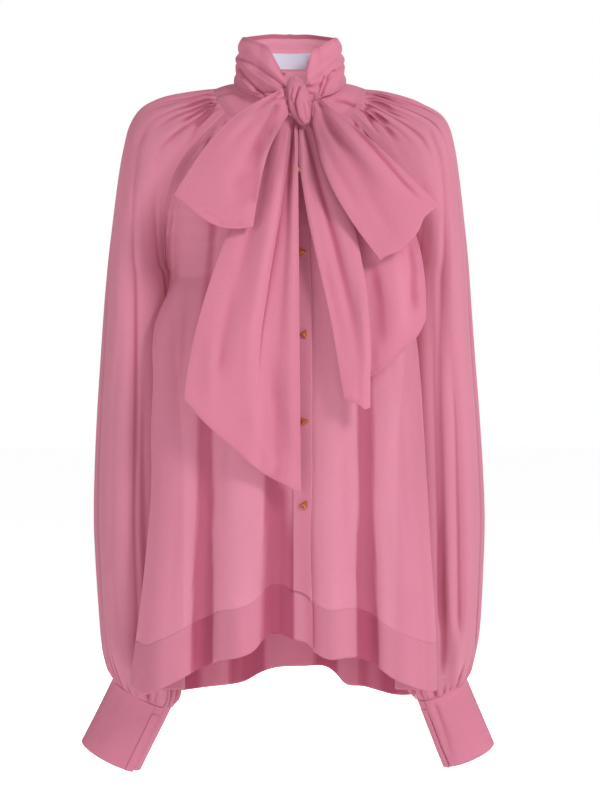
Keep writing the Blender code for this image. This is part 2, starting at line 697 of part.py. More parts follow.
def build_studs(strip):
    for name, (z, turn) in STUDS.items():
        x = front_line(z) + 1.0
        y_below, y, y_above = (min(np.interp(-at, -strip[:, c, 2], strip[:, c, 1]) for c in range(strip.shape[1]))
                               for at in (z - 8, z, z + 8))
        lie = np.arctan2(y_above - y_below, 16)
        bpy.ops.mesh.primitive_cone_add(vertices=3, radius1=STUD_RADIUS * MM, radius2=0.4 * MM,
                                        depth=STUD_HEIGHT * MM)
        stud = bpy.context.object
        stud.name = name
        for collection in stud.users_collection:
            collection.objects.unlink(stud)
        BLOUSE.objects.link(stud)
        lean = Matrix.Rotation(np.radians(90) - lie, 4, "X") @ Matrix.Rotation(np.radians(turn), 4, "Z")
        lift = STUD_CLEAR + STUD_HEIGHT / 2
        place = Vector((x, y - lift * np.cos(lie), z + lift * np.sin(lie))) * MM
        stud.matrix_world = Matrix.Translation(place) @ lean
        bevel = stud.modifiers.new("soft edges", "BEVEL")
        bevel.width = 0.0005
        bevel.segments = 1
        material = bpy.data.materials.new(name)
        material.use_nodes = True
        shader = material.node_tree.nodes["Principled BSDF"]
        shader.inputs["Base Color"].default_value = (*GOLD, 1)
        shader.inputs["Metallic"].default_value = 1.0
        shader.inputs["Roughness"].default_value = 0.25
        stud.data.materials.append(material)


def build_label():
    """The label lies inside the back of the collar, so it is the collar's own form moved inwards."""
    width, height, wall = LABEL_SIZE
    half_turn = np.degrees(width / 2 / COLLAR_RADII[0])
    z, angle = grid(LABEL_Z + height * np.array([-0.5, 0.5]), np.linspace(180 - half_turn, 180 + half_turn, 7))
    low, high = COLLAR("low", 180), COLLAR("high_left", 180)
    points = collar_form((z - low) / (high - low), angle)
    points[..., 2] = z
    points[..., :2] -= (TIE_WALL + LABEL_GAP) * stack(np.sin(np.radians(angle)), -np.cos(np.radians(angle)))
    cloth("label", points, wall, LABEL_WHITE)


for old in list(bpy.data.objects):
    bpy.data.objects.remove(old)
BLOUSE = bpy.data.collections.new("tie_neck_blouse")
bpy.context.scene.collection.children.link(BLOUSE)

right_front = build_body()
build_sleeves()
build_cuffs()
build_yoke()
build_collar()
build_knot()
build_loops()
build_tails()
build_studs(build_placket(right_front))
build_label()
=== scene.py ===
"""Looks of the tie neck blouse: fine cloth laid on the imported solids, its folds, crepe and light.

The forms are those of the part's source, in millimetres, with finer folds added to them."""

import bmesh
import bpy
import numpy as np
from mathutils import Matrix, Vector


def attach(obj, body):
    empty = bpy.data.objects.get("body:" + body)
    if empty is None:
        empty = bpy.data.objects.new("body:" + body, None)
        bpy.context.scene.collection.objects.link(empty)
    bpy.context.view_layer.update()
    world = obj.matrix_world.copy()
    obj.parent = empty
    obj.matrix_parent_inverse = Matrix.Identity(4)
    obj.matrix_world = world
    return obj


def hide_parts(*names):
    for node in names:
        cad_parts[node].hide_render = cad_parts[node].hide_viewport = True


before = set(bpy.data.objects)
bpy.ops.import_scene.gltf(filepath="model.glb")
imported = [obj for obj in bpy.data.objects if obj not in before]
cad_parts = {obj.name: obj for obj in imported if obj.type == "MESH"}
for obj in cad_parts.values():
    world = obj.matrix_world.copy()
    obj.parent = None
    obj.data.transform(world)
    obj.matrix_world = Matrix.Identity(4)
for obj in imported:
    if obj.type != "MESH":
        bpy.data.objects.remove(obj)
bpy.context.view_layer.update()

MM = 0.001

# Cloth walls and seams
TIE_WALL = 1.5
UNDERARM_GAP = 0.8

# Stations along a sleeve: 0 at the yoke, 9 at the underarm, 19 at the cuff seam
UNDERARM = 9.0
CUFF_SEAM = 19.0
SLEEVE_CENTRE_Y = 3.0
FRONT_HALF_ANGLE = 55.0
LEFT_SHOULDER_DROP = 5.5
RIGHT_SLEEVE_SWELL = 4.5

# Hem, placket and studs
HEM_BAND = 57.0
SIDE_HEM_Z = -712.0
PLACKET_HALF_WIDTH = 11.0
UNDERLAP = 9.0
PLACKET_RISE = 2.3
LAP_DEPTH = 4.0
STUDS = {"stud_1": (-97.0, 90), "stud_2": (-195.0, 30), "stud_3": (-290.0, 90), "stud_4": (-391.0, 30),
         "stud_5": (-487.0, 90)}

# Cuffs: where each band's top is centred, how far it swings out from the body, and its half width
CUFF_HEIGHT = 94.0
CUFFS = {"right": (-176.0, -716.0, 26.5, 39.5), "left": (181.0, -711.0, 22.5, 33.5)}
CUFF_HALF_DEPTH = 23.0
CUFF_LEAN = 19.0
CUFF_OVERLAP = 35.0
CUFF_EDGE = {"right": 42.0, "left": 24.0}
CUFF_LAYERS = 3.4

# The knot of the bow, an upright egg that leans to the wearer's left as it goes down
KNOT_CENTRE = (11.0, -78.0, -15.5)
KNOT_RADII = (14.5, 12.5, 33.0)
KNOT_LEAN = 13.0
KNOT_TILT = 18.0

# The woven label inside the back of the collar
LABEL_SIZE = (52.0, 19.0, 0.6)
LABEL_Z = 48.0
LABEL_GAP = 0.95


class Table:
    """Sizes at a few stations, read anywhere between them along smooth curves."""

    def __init__(self, columns, *rows):
        self.columns = columns.split()
        self.rows = np.array(rows, float)

    def __call__(self, name, at):
        stations, values = self.rows[:, 0], self.rows[:, self.columns.index(name)]
        at = np.clip(at, stations[0], stations[-1])
        slopes = np.gradient(values, stations)
        i = np.clip(np.searchsorted(stations, at, side="right") - 1, 0, len(stations) - 2)
        width = stations[i + 1] - stations[i]
        t = (at - stations[i]) / width
        rise = values[i + 1] - values[i]
        bend = (slopes[i] * width - rise) * (1 - t) - (slopes[i + 1] * width - rise) * t
        return values[i] + t * rise + t * (1 - t) * bend


SLEEVE = Table(
    "station outer_x outer_z inner_x inner_z half_depth half_turn tilt",
    (0, 91, 7, 76, -12, 75, 35, 0.30),
    (1, 124, 3, 98, -32, 78, 50, 0.28),
    (2, 155, -3, 117, -55, 82, 66, 0.22),
    (3, 178, -15, 131, -80, 84, 82, 0.15),
    (4, 191, -35, 140, -106, 84, 100, 0.10),
    (5, 198, -65, 146, -132, 82, 118, 0.05),
    (6, 203, -100, 149, -158, 79, 138, 0.02),
    (7, 208, -145, 150, -184, 76, 158, 0.0),
    (8, 213, -190, 149, -206, 73, 171, 0.0),
    (9, 216, -225, 147, -216, 70, 180, 0.0),
    (10, 219, -265, 144, -262, 66, 180, 0.0),
    (11, 223, -320, 141, -320, 63, 180, 0.0),
    (12, 228, -385, 139, -385, 61, 180, 0.0),
    (13, 232, -450, 139, -452, 60, 180, 0.0),
    (14, 234, -510, 139, -515, 60, 180, 0.0),
    (15, 232, -570, 138, -578, 59, 180, 0.0),
    (16, 229, -620, 137, -634, 56, 180, 0.0),
    (17, 225, -655, 137, -678, 48, 180, 0.0),
    (18, 219, -680, 140, -710, 34, 180, 0.0),
    (19, 212, -700, 148, -728, 23, 180, 0.0),
)

# The middle of the front and of the back, and how far round a level line reaches to the raglan seam
CENTRES = Table(
    "station front_y front_z back_y back_z half_angle",
    (0, -72, -54, 78, -14, 55),
    (1, -80, -67, 86, -32, 59),
    (2, -88, -83, 93, -54, 63),
    (3, -95, -100, 98, -78, 67),
    (4, -101, -118, 102, -104, 72),
    (5, -107, -138, 104, -130, 76),
    (6, -112, -160, 105, -156, 80),
    (7, -116, -184, 105, -182, 84),
    (8, -119, -206, 104, -206, 87),
    (9, -121, -226, 103, -226, 90),
)

# Rings of the body from the underarm (0) to the hem (1); the sides are pinched in beside the sleeves
BODY = Table(
    "down half_width pinch square front back right_flare",
    (0.00, 146.2, 0.00, 1.00, 124, 100, 0.00),
    (0.05, 155, 0.072, 0.94, 126, 100, 0.07),
    (0.11, 166, 0.146, 0.87, 127, 100, 0.10),
    (0.17, 174, 0.195, 0.82, 127, 101, 0.08),
    (0.23, 179, 0.232, 0.80, 127, 101, 0.05),
    (0.37, 188, 0.303, 0.78, 127, 103, 0.03),
    (0.51, 194, 0.335, 0.76, 127, 105, 0.00),
    (0.65, 199, 0.355, 0.75, 128, 108, 0.01),
    (0.79, 204, 0.370, 0.72, 129, 111, 0.03),
    (0.91, 207, 0.383, 0.70, 130, 114, 0.06),
    (1.00, 208, 0.390, 0.70, 131, 116, 0.085),
)
FLARE_ANGLE = 56.0
PINCH_ANGLE = 25.0

FRONT_HEM = Table(
    "x z",
    (-184, -700), (-169, -708), (-150, -702), (-115, -683), (-84, -667), (-57, -662), (-40, -654),
    (-29, -642), (-18, -636), (0, -641), (20, -648), (29, -657), (42, -664), (66, -663), (84, -664),
    (99, -673), (120, -689), (145, -700), (166, -705), (184, -700),
)
BACK_HEM = Table(
    "x z",
    (-184, -722), (-143, -727), (-98, -721), (-52, -714), (-36, -705), (-20, -699), (16, -697),
    (48, -700), (58, -707), (68, -717), (92, -722), (130, -732), (156, -730), (184, -722),
)

# Long folds of the body: where each starts under the yoke and ends at the hem, its half width
# there, and how far it stands out (or sinks in) at the hem
FRONT_FOLDS = Table(
    "number top_x hem_x width rise top_rise",
    (0, -104, -146, 24, 5, 1.5),
    (1, -84, -101, 13, -8, -2.5),
    (2, -58, -60, 21, 6, 2.0),
    (3, -26, -18, 9, -8, -1.5),
    (4, 34, 47, 22, 5, 1.5),
    (5, 62, 90, 12, -8, -2.5),
    (6, 88, 132, 22, 5, 2.0),
)
BACK_FOLDS = Table(
    "number top_x hem_x width rise top_rise",
    (0, -100, -140, 24, 6, 2.0),
    (1, -76, -92, 15, -7, -2.5),
    (2, -44, -44, 16, 6, 2.0),
    (3, -14, -4, 18, -7, -2.0),
    (4, 26, 44, 15, 6, 2.0),
    (5, 60, 70, 11, -8, -2.5),
    (6, 96, 128, 24, 6, 2.0),
)
FRONT_GATHERS = 4
BACK_GATHERS = 8
SLEEVE_GATHERS = 7
CUFF_GATHERS = 7
GATHER_DEPTH = 2.6

# Long folds of a sleeve below the shoulder: place round it (1 front seam, 0 outside, -1 back), half
# width round it, and height
SLEEVE_FOLDS = Table(
    "number place width rise",
    (0, 0.86, 0.05, -5),
    (1, 0.70, 0.07, 1.5),
    (2, 0.52, 0.05, -5),
    (3, 0.34, 0.08, 4),
    (4, 0.14, 0.06, -3),
    (5, -0.16, 0.08, -3),
    (6, -0.36, 0.07, 4),
    (7, -0.56, 0.06, -5),
    (8, -0.78, 0.07, 1.5),
)

# Scarf collar: its lower and upper edges round the neck, from the knot (0 degrees) to the back (180)
COLLAR = Table(
    "angle low high_right high_left",
    (7, -20, 19, 8),
    (17, -16, 38, 25),
    (23, -13, 48, 41),
    (38, -7, 57, 52),
    (63, 2.5, 66, 65),
    (90, 15, 69, 68),
    (130, 15.5, 76, 75),
    (180, 8.5, 85, 85),
)
COLLAR_RADII = (60.0, 59.0)
COLLAR_ENDS = (16.9, 356.2)

# Bow loops: corners of the folded end, the bow-out of the middle, and depths
LOOPS = {
    "right": dict(end_high=(-132, -131), end_low=(-42, -168), root_high=(-5.3, -2), root_low=(0.0, -30),
                  bow_high=(-9, 13), bow_low=(-7, 8), sag=6.0),
    "left": dict(end_high=(171, -143), end_low=(104, -206), root_high=(24.7, -6), root_low=(28.6, -34),
                 bow_high=(0, 3), bow_low=(-17, -3), sag=-3.0),
}
LOOP_DEPTHS = Table("out middle half_gap", (0, -80, 3.4), (0.15, -91, 6.0), (0.4, -125, 7.5), (0.7, -142, 10),
                    (1, -147, 9))

# Bow tails: threads from the knot to the end. Layer is how far each lies behind the tail's middle.
TAILS = {
    "right": Table(
        "across root_x end_x end_z spread layer",
        (0.00, -7, -121, -366, 1.5, 0),
        (0.15, -5, -98, -391, 1.5, -4),
        (0.35, -2, -66, -420, 1.4, -6),
        (0.52, 0, -42, -441, 1.3, -5),
        (0.62, 2, -30, -450, 1.2, 1),
        (0.72, 3, -18, -457, 1.1, 4),
        (0.88, 6, 1, -467, 1.0, 1),
        (1.00, 9, 13, -474, 1.0, 2),
    ),
    "left": Table(
        "across root_x end_x end_z spread layer",
        (0.00, 11, 63, -365, 0.95, -5),
        (0.20, 13, 78, -371, 1.6, -7.5),
        (0.36, 15, 89, -376, 2.9, -6.5),
        (0.41, 16, 92.5, -373, 3.0, -3.0),
        (0.46, 17, 84, -362, 2.9, -0.5),
        (0.51, 18, 77, -352, 2.8, 3.0),
        (0.56, 19, 84, -346, 2.9, 6.0),
        (0.78, 22, 122, -318, 2.9, 4.5),
        (0.92, 24, 148, -291, 2.8, 5.5),
        (1.00, 25, 157, -273, 2.7, 6.0),
    ),
}
TAIL_ROOT_Z = -32.0
TAIL_DEPTHS = Table(
    "z right left",
    (-560, -144, -144),
    (-470, -143, -143),
    (-300, -143, -143),
    (-220, -140, -139),
    (-160, -131, -129),
    (-110, -117, -110),
    (-75, -96, -90),
    (-50, -79, -76.5),
    (-32, -71.6, -70.2),
)


def ease(low, high, x):
    """0 below low, 1 above high, and smooth between."""
    t = np.clip((x - low) / (high - low), 0, 1)
    return t * t * (3 - 2 * t)


def hump(x, centre, width):
    return np.exp(-(((x - centre) / width) ** 2))


def grid(*axes):
    return np.meshgrid(*axes, indexing="ij")


def stack(*parts):
    return np.stack(np.broadcast_arrays(*parts), axis=-1)


def cuff_frame(side):
    """The middle of a cuff's top, the directions down it, across it outwards and to its front, and its half width."""
    x, z, swing, half_width = CUFFS[side]
    out, angle, lean = np.sign(x), np.radians(swing), np.radians(CUFF_LEAN)
    hang = np.array([out * np.sin(angle), 0, -np.cos(angle)])
    back = np.array([0, 1.0, 0])
    down = hang * np.cos(lean) + back * np.sin(lean)
    across = np.array([out * np.cos(angle), 0, np.sin(angle)])
    front = hang * np.sin(lean) - back * np.cos(lean)
    return np.array([x, SLEEVE_CENTRE_Y, z]), down, across, front, half_width


def sleeve_point(side, station, turn):
    """A point of the sleeve's plain form. turn is 1 at the front seam, 0 on the outside, -1 behind."""
    sign = 1 if side == "left" else -1
    half_turn = np.radians(SLEEVE("half_turn", station))
    angle = turn * half_turn
    top, _, across, front, half_width = cuff_frame(side)
    settle = ease(14.5, CUFF_SEAM, station)
    ends = []
    for edge, reach in (("outer", 1), ("inner", -1)):
        cuff_end = top + reach * half_width * across
        last_x, last_z = SLEEVE(edge + "_x", CUFF_SEAM), SLEEVE(edge + "_z", CUFF_SEAM)
        ends.append((SLEEVE(edge + "_x", station) + settle * (sign * cuff_end[0] - last_x),
                     SLEEVE(edge + "_z", station) + settle * (cuff_end[2] - last_z)))
    (outer_x, outer_z), (inner_x, inner_z) = ends
    reach = 1 - np.cos(half_turn)
    arm_x, arm_z = (outer_x - inner_x) / reach, (outer_z - inner_z) / reach
    depth = SLEEVE("half_depth", station)
    forward = depth * np.sin(angle)
    y = SLEEVE_CENTRE_Y - forward * (1 - settle * (1 + front[1]))
    x = outer_x - arm_x + arm_x * np.cos(angle) + forward * settle * sign * front[0]
    z = outer_z - arm_z + arm_z * np.cos(angle) + forward * (settle * front[2] - SLEEVE("tilt", station))
    if side == "left":
        z = z - LEFT_SHOULDER_DROP * hump(station, 2.5, 1.6) * (1 - turn**2)
    else:
        x = x + RIGHT_SLEEVE_SWELL * hump(station, 9, 5) * (1 - turn**2)
    return stack(sign * x, y, z)


def body_point(station, share, behind=False):
    """A point of the body's plain form. share is 0 at the middle and +-1 at the side (or raglan seam).

    Stations 0 to 9 run from the yoke to the underarm, and 9 to 10 from the underarm to the hem."""
    above = np.minimum(station, UNDERARM)
    down = np.clip(station - UNDERARM, 0, 1)
    seam = sleeve_point("left", above, -1.0 if behind else 1.0)
    name = "back" if behind else "front"
    middle_y, middle_z = CENTRES(name + "_y", above), CENTRES(name + "_z", above)
    half_angle = np.radians(CENTRES("half_angle", above))
    angle = np.abs(share) * half_angle
    gap = UNDERARM_GAP * ease(4, UNDERARM, above)
    fall = (1 - np.cos(angle)) / (1 - np.cos(half_angle))
    x_high = (seam[..., 0] - gap) * np.sin(angle) / np.sin(half_angle)
    y_high = middle_y + (seam[..., 1] - middle_y) * fall
    z_high = middle_z + (seam[..., 2] - middle_z) * fall
    square = BODY("square", down)
    pinch = BODY("pinch", down) * hump(np.degrees(angle), 90, PINCH_ANGLE)
    flare = BODY("right_flare", down) * hump(np.degrees(angle), FLARE_ANGLE, 16) * (share < 0) * (not behind)
    x_low = BODY("half_width", down) * np.sin(angle) ** square * (1 - pinch + flare)
    depth = -BODY(name, down) if not behind else BODY(name, down)
    y_low = seam[..., 1] + depth * np.abs(np.cos(angle)) ** square
    low = station > UNDERARM
    x = np.where(low, x_low, x_high) * np.sign(share)
    hem = (BACK_HEM if behind else FRONT_HEM)("z", x)
    hem = hem + (SIDE_HEM_Z - hem) * hump(np.degrees(angle), 90, PINCH_ANGLE)
    z = np.where(low, z_high + down * (hem - z_high), z_high)
    return stack(x, np.where(low, y_low, y_high), z)


def outward(share, half_angle, behind=False):
    """The level direction that points out of the body at a share of the way round."""
    angle = share * half_angle
    return stack(np.sin(angle), (1 if behind else -1) * np.cos(angle), np.zeros_like(angle))


def body_form(station, share, behind=False):
    """The body with its gathers under the yoke and its long folds, outer surface."""
    plain = body_point(station, share, behind)
    folds = BACK_FOLDS if behind else FRONT_FOLDS
    down = np.clip((station - 1) / 9, 0, 1)
    out = np.zeros_like(plain[..., 0])
    for n in folds.rows[:, 0]:
        x = folds("top_x", n) + (folds("hem_x", n) - folds("top_x", n)) * down
        width = folds("width", n) * (0.55 + 0.45 * down)
        rise = folds("top_rise", n) * ease(0.5, 2.5, station) + (folds("rise", n) - folds("top_rise", n)) * down**2
        out = out + rise * hump(plain[..., 0], x, width)
    gathers = BACK_GATHERS if behind else FRONT_GATHERS
    waves = 0.5 - 0.5 * np.cos(np.pi * (gathers if behind else 2 * gathers) * share)
    flat = 0 if behind else hump(plain[..., 0], 9, 16)
    out = out - GATHER_DEPTH * waves * ease(0, 0.7, station) * (1 - ease(0.7, 3.4, station)) * (1 - flat)
    away = outward(share, np.radians(80), behind)
    return plain + (out * (1 - ease(0.58, 0.8, np.abs(share))))[..., None] * away


def sleeve_form(side, station, turn):
    """The sleeve with the gathers at the yoke and at the cuff and its long folds."""
    plain = sleeve_point(side, station, turn)
    middle = sleeve_point(side, station, turn * 0)
    inside = sleeve_point(side, station, np.ones_like(turn))
    centre = 0.5 * (middle + inside)
    centre[..., 1] = SLEEVE_CENTRE_Y
    away = plain - centre
    away = away / np.linalg.norm(away, axis=-1, keepdims=True)
    seam = 1 - ease(0.88, 0.99, np.abs(turn)) * (1 - ease(UNDERARM + 0.5, UNDERARM + 2, station))
    top = -GATHER_DEPTH * (0.5 - 0.5 * np.cos(2 * np.pi * SLEEVE_GATHERS * (turn + 1) / 2))
    top = top * ease(0, 0.7, station) * (1 - ease(0.7, 3.6, station))
    folds = np.zeros_like(top)
    for n in SLEEVE_FOLDS.rows[:, 0]:
        folds = folds + SLEEVE_FOLDS("rise", n) * hump(turn, SLEEVE_FOLDS("place", n), SLEEVE_FOLDS("width", n))
    folds = folds * ease(3, 11, station) * (1 - ease(16.5, 18.6, station))
    low = (0.5 + 0.5 * np.cos(np.pi * (turn + 1) * CUFF_GATHERS)) * ease(15.5, 18, station) * 3.6
    low = low * (1 - 0.75 * ease(18.3, CUFF_SEAM, station))
    return plain + ((top + folds) * seam + low)[..., None] * away


def front_line(z):
    """The x of the middle of the placket, which the tied bow pulls a little to the wearer's left."""
    return 9 + 6.5 * ease(60, 300, -z)


def share_at(station, x, behind=False):
    """The share of the way round the body at which a level line passes x."""
    shares = np.linspace(-1, 1, 401)
    xs = body_point(np.full_like(shares, station), shares, behind)[:, 0]
    return float(np.interp(x, xs, shares))


def band_station(station_top, share, behind):
    """The station, for each share, at which the hem band's top seam runs."""
    hem = body_point(np.full_like(share, 10.0), share, behind)
    under = body_point(np.full_like(share, UNDERARM), share, behind)
    length = under[..., 2] - hem[..., 2]
    return 10 - HEM_BAND / length + 0 * station_top


def tuck_under(points, depth):
    """The left front passes behind the right one along the placket."""
    points = points.copy()
    line = front_line(points[..., 2])
    lap = 1 - ease(PLACKET_HALF_WIDTH + 8, PLACKET_HALF_WIDTH + 34, points[..., 0] - line)
    points[..., 1] += depth * lap
    return points


def yoke_edge(angle):
    """The outer edge of the round yoke, angle in degrees from the middle of the front, either way."""
    sign, turn = np.sign(angle), np.abs(angle)
    zero = np.zeros_like(turn)
    front = body_point(zero, np.clip(turn / FRONT_HALF_ANGLE, 0, 1))
    side = sleeve_point("left", zero, np.clip((90 - turn) / 35, -1, 1))
    back = body_point(zero, np.clip((180 - turn) / FRONT_HALF_ANGLE, 0, 1), behind=True)
    part = np.where((turn < FRONT_HALF_ANGLE)[..., None], front, side)
    part = np.where((turn > 125)[..., None], back, part)
    return part * stack(np.where(sign < 0, -1.0, 1.0), 1.0, 1.0)


def neck_seam(angle):
    """The seam of the collar, where the neck leaves the yoke."""
    turn = np.radians(angle)
    z = 8.5 - 15 * np.cos(turn) - 5.5 * np.cos(2 * turn)
    return stack(59 * np.sin(turn), 2 - 57 * np.cos(turn), z)


def collar_form(share, angle):
    """The scarf collar round the neck. share is 0 at its lower edge and 1 at its upper edge.

    The angle starts at the knot and goes round by the wearer's left side."""
    turn, near = np.radians(angle), np.minimum(angle, 360 - angle)
    low, high = COLLAR("low", near), COLLAR("high_left", near)
    high = np.where(angle > 180, COLLAR("high_right", near), high)
    climb = share - 0.45 * (1 - ease(0, 95, near)) * share
    folds = 2.4 * np.sin(2 * np.pi * (2.6 * climb + 0.1)) * (1 - ease(90, 170, near))
    out = folds + 3 * np.sin(np.pi * share) - 2 * np.clip((share - 0.82) / 0.18, 0, 1) ** 2
    out = out + 7 * (1 - share) ** 2 + 8.9 * (1 - ease(6, 36, near))
    x = (COLLAR_RADII[0] + out) * np.sin(turn)
    y = 2 - (COLLAR_RADII[1] + out) * np.cos(turn)
    return stack(x, y, low + (high - low) * share)


def knot_matrix():
    lean = Matrix.Rotation(np.radians(-KNOT_LEAN), 4, "Y")
    return Matrix.Translation(Vector(KNOT_CENTRE) * MM) @ Matrix.Rotation(np.radians(-KNOT_TILT), 4, "X") @ lean


def loop_form(side, along, across):
    """A bow loop. along is 0 at the knot in front, 0.5 at the folded end, and 1 at the knot behind."""
    sizes = LOOPS[side]
    out = np.sin(np.pi * along)
    layer = np.cos(np.pi * along)
    corner = {name: np.array(sizes[name], float) for name in sizes if name != "sag"}
    root = corner["root_high"] + (corner["root_low"] - corner["root_high"]) * across[..., None]
    end = corner["end_high"] + (corner["end_low"] - corner["end_high"]) * across[..., None]
    bow = corner["bow_high"] + (corner["bow_low"] - corner["bow_high"]) * across[..., None]
    flat = root + (end - root) * (out**1.1)[..., None] + bow * np.sin(np.pi * out)[..., None]
    flat[..., 1] -= sizes["sag"] * np.sin(np.pi * across) * out**3
    pleats = 3.5 * np.cos(2 * np.pi * 2.5 * across) * (1 - out) ** 1.2 + 4.0 * hump(across, 0.62, 0.14) * out * (1.2 - out)
    y = LOOP_DEPTHS("middle", out) - LOOP_DEPTHS("half_gap", out) * layer + pleats * ease(0.1, 0.45, out)
    return stack(flat[..., 0], y - 3 * np.sin(np.pi * across) * out, flat[..., 1])


def tail_form(side, down, across):
    """A bow tail. down is 0 at the knot and 1 at the cut end."""
    threads = TAILS[side]
    end_z = threads("end_z", across)
    z = TAIL_ROOT_Z + (end_z - TAIL_ROOT_Z) * down
    opened = 1 - (1 - down) ** threads("spread", across)
    x = threads("root_x", across) + (threads("end_x", across) - threads("root_x", across)) * opened
    layer = threads("layer", across) * np.clip(down / 0.2, 0, 1) ** 0.75
    return stack(x, TAIL_DEPTHS(side, z) + layer, z)


# The picture's frame: where a point shows in 600 by 800 pixels from the front
PIXEL = 1.2
VIEW_X = 12.0
VIEW_Z = -366.0
VIEW_DISTANCE = 3200.0


def picture(points):
    """The column and row, in a 600 by 800 picture from the front, at which points in millimetres show."""
    near = VIEW_DISTANCE / (VIEW_DISTANCE + points[..., 1])
    x = VIEW_X + (points[..., 0] - VIEW_X) * near
    z = VIEW_Z + (points[..., 2] - VIEW_Z) * near
    return 290 + x / PIXEL, 95 - z / PIXEL


def normals_of(points, flip):
    """Outward unit normals of a grid."""
    down = np.gradient(points, axis=0)
    across = np.gradient(points, axis=1)
    out = np.cross(across, down)
    out = out / np.maximum(np.linalg.norm(out, axis=-1, keepdims=True), 1e-9)
    return -out if flip else out


def crease_height(columns, rows, path, widths, heights, ends=(0.12, 0.25), lap=0.0):
    """How high a crease along a path of picture points stands (or sinks) at each point, in millimetres.

    lap lifts the cloth on the right of the path as one looks along it, with a sharp edge on the path."""
    path = np.array(path, float)
    steps = np.diff(path, axis=0)
    lengths = np.linalg.norm(steps, axis=1)
    starts = np.concatenate([[0], np.cumsum(lengths)])
    best, along, side = np.full(columns.shape, 1e9), np.zeros(columns.shape), np.zeros(columns.shape)
    for i, (corner, step) in enumerate(zip(path, steps)):
        t = ((columns - corner[0]) * step[0] + (rows - corner[1]) * step[1]) / lengths[i] ** 2
        t = np.clip(t, 0, 1)
        distance = np.hypot(columns - corner[0] - t * step[0], rows - corner[1] - t * step[1])
        nearer = distance < best
        best = np.where(nearer, distance, best)
        along = np.where(nearer, starts[i] + t * lengths[i], along)
        left = step[0] * (rows - corner[1]) - step[1] * (columns - corner[0])
        side = np.where(nearer, np.sign(left), side)
    share = along / starts[-1]
    width = widths[0] + (widths[1] - widths[0]) * share
    height = heights[0] + (heights[1] - heights[0]) * share
    fade = (ends[0] == 0) + (ends[0] > 0) * ease(0, max(ends[0], 1e-6), share)
    fade = fade * ((ends[1] == 0) + (ends[1] > 0) * ease(0, max(ends[1], 1e-6), 1 - share))
    fold = height * np.exp(-((best / width) ** 2))
    edge = lap * (0.5 + 0.5 * np.tanh(side * best / 0.5)) * np.exp(-((best / (2.2 * width)) ** 2))
    return fade * (fold + edge)


def creased(points, flip, rows, fade=1.0):
    """The grid with creases, each placed by where it shows in the picture, pushed along its normals."""
    x, y = picture(points)
    out = normals_of(points, flip)
    height = np.zeros(x.shape)
    for path, widths, heights, *ends in rows:
        height = height + crease_height(x, y, path, widths, heights, *ends)
    height = height * ease(-0.1, 0.35, -out[..., 1]) * fade
    return points + out * height[..., None]


def smoothed(points, times):
    """The grid after so many rounds of averaging each point with its neighbours across the folds."""
    for _ in range(times):
        wide = np.pad(points, ((0, 0), (1, 1), (0, 0)), mode="edge")
        points = (2 * points + wide[:, :-2] + wide[:, 2:]) / 4
    return points


def painted_fold_shade(points, flip, painted_shade_tone):
    """Painted light and shade for each point, by how far it lies in a fold: 0 on a crest is painted lighter, 1 in a
    trough is painted darker, and 0.5 is flat cloth. The piece's offset paints all of it lighter or darker.
    """
    out = normals_of(points, flip)
    small = np.sum(out * (smoothed(points, 12) - points), axis=-1)
    large = np.sum(out * (smoothed(points, 80) - points), axis=-1)
    depth = 0.9 * np.clip(small, -0.5, 0.8) + 0.22 * np.clip(large, -1.2, 2.5)
    return np.clip(0.5 + painted_shade_tone + 0.5 * depth, 0, 1)


def uneven(seed, count, low, high):
    """Places between low and high, evenly spread and then each moved a little."""
    draw = np.random.default_rng(seed)
    step = (high - low) / count
    return low + step * (np.arange(count) + 0.5 + draw.uniform(-0.32, 0.32, count))


def gathers(seed, count, low, high, place, down, reach, depth):
    """Small folds that start at a gathered seam and fade out at uneven lengths.

    place runs along the seam, and down is the distance from it, in the same units as reach."""
    draw = np.random.default_rng(seed + 100)
    height = np.zeros(np.broadcast(place, down).shape)
    width = (high - low) / count
    for centre in uneven(seed, count, low, high):
        length = reach * draw.uniform(0.45, 1.0)
        deep = depth * draw.uniform(0.5, 1.1)
        drift = width * draw.uniform(-0.5, 0.5)
        thin = width * draw.uniform(0.20, 0.34)
        grown = thin * (1 + 1.1 * np.clip(down / length, 0, 1))
        fade = ease(0, 0.12, down / length) * (1 - ease(0.15, 1.0, down / length))
        at = place - centre - drift * np.clip(down / length, 0, 1)
        crease = np.exp(-((at / grown) ** 2)) - 0.35 * np.exp(-((at / grown / 2.2) ** 2))
        height = height - deep * fade * crease
    return height


def ripple(seed, count, size, a, b):
    """A soft unevenness: a few long waves in random directions."""
    draw = np.random.default_rng(seed)
    height = np.zeros(np.broadcast(a, b).shape)
    for _ in range(count):
        turn = draw.uniform(0, np.pi)
        wave = draw.uniform(0.6, 1.6)
        height = height + np.sin(wave * (a * np.cos(turn) + b * np.sin(turn)) + draw.uniform(0, 6.28))
    return size * height / np.sqrt(count)


# Materials
# Painted light and shade on the cloth, multiplied into its colour: a painted highlight on the crests of folds (0), a
# little painted shade over flat cloth (0.5) and deep painted shade at the bottom of creases (1)
PAINTED_FOLD_SHADE_TONES = ((0.02, (1.0, 1.0, 1.0)), (0.5, (0.94, 0.88, 0.90)), (0.98, (0.66, 0.36, 0.46)))


def node(tree, kind, **inputs):
    made = tree.nodes.new(kind)
    for name, value in inputs.items():
        made.inputs[name.replace("_", " ")].default_value = value
    return made


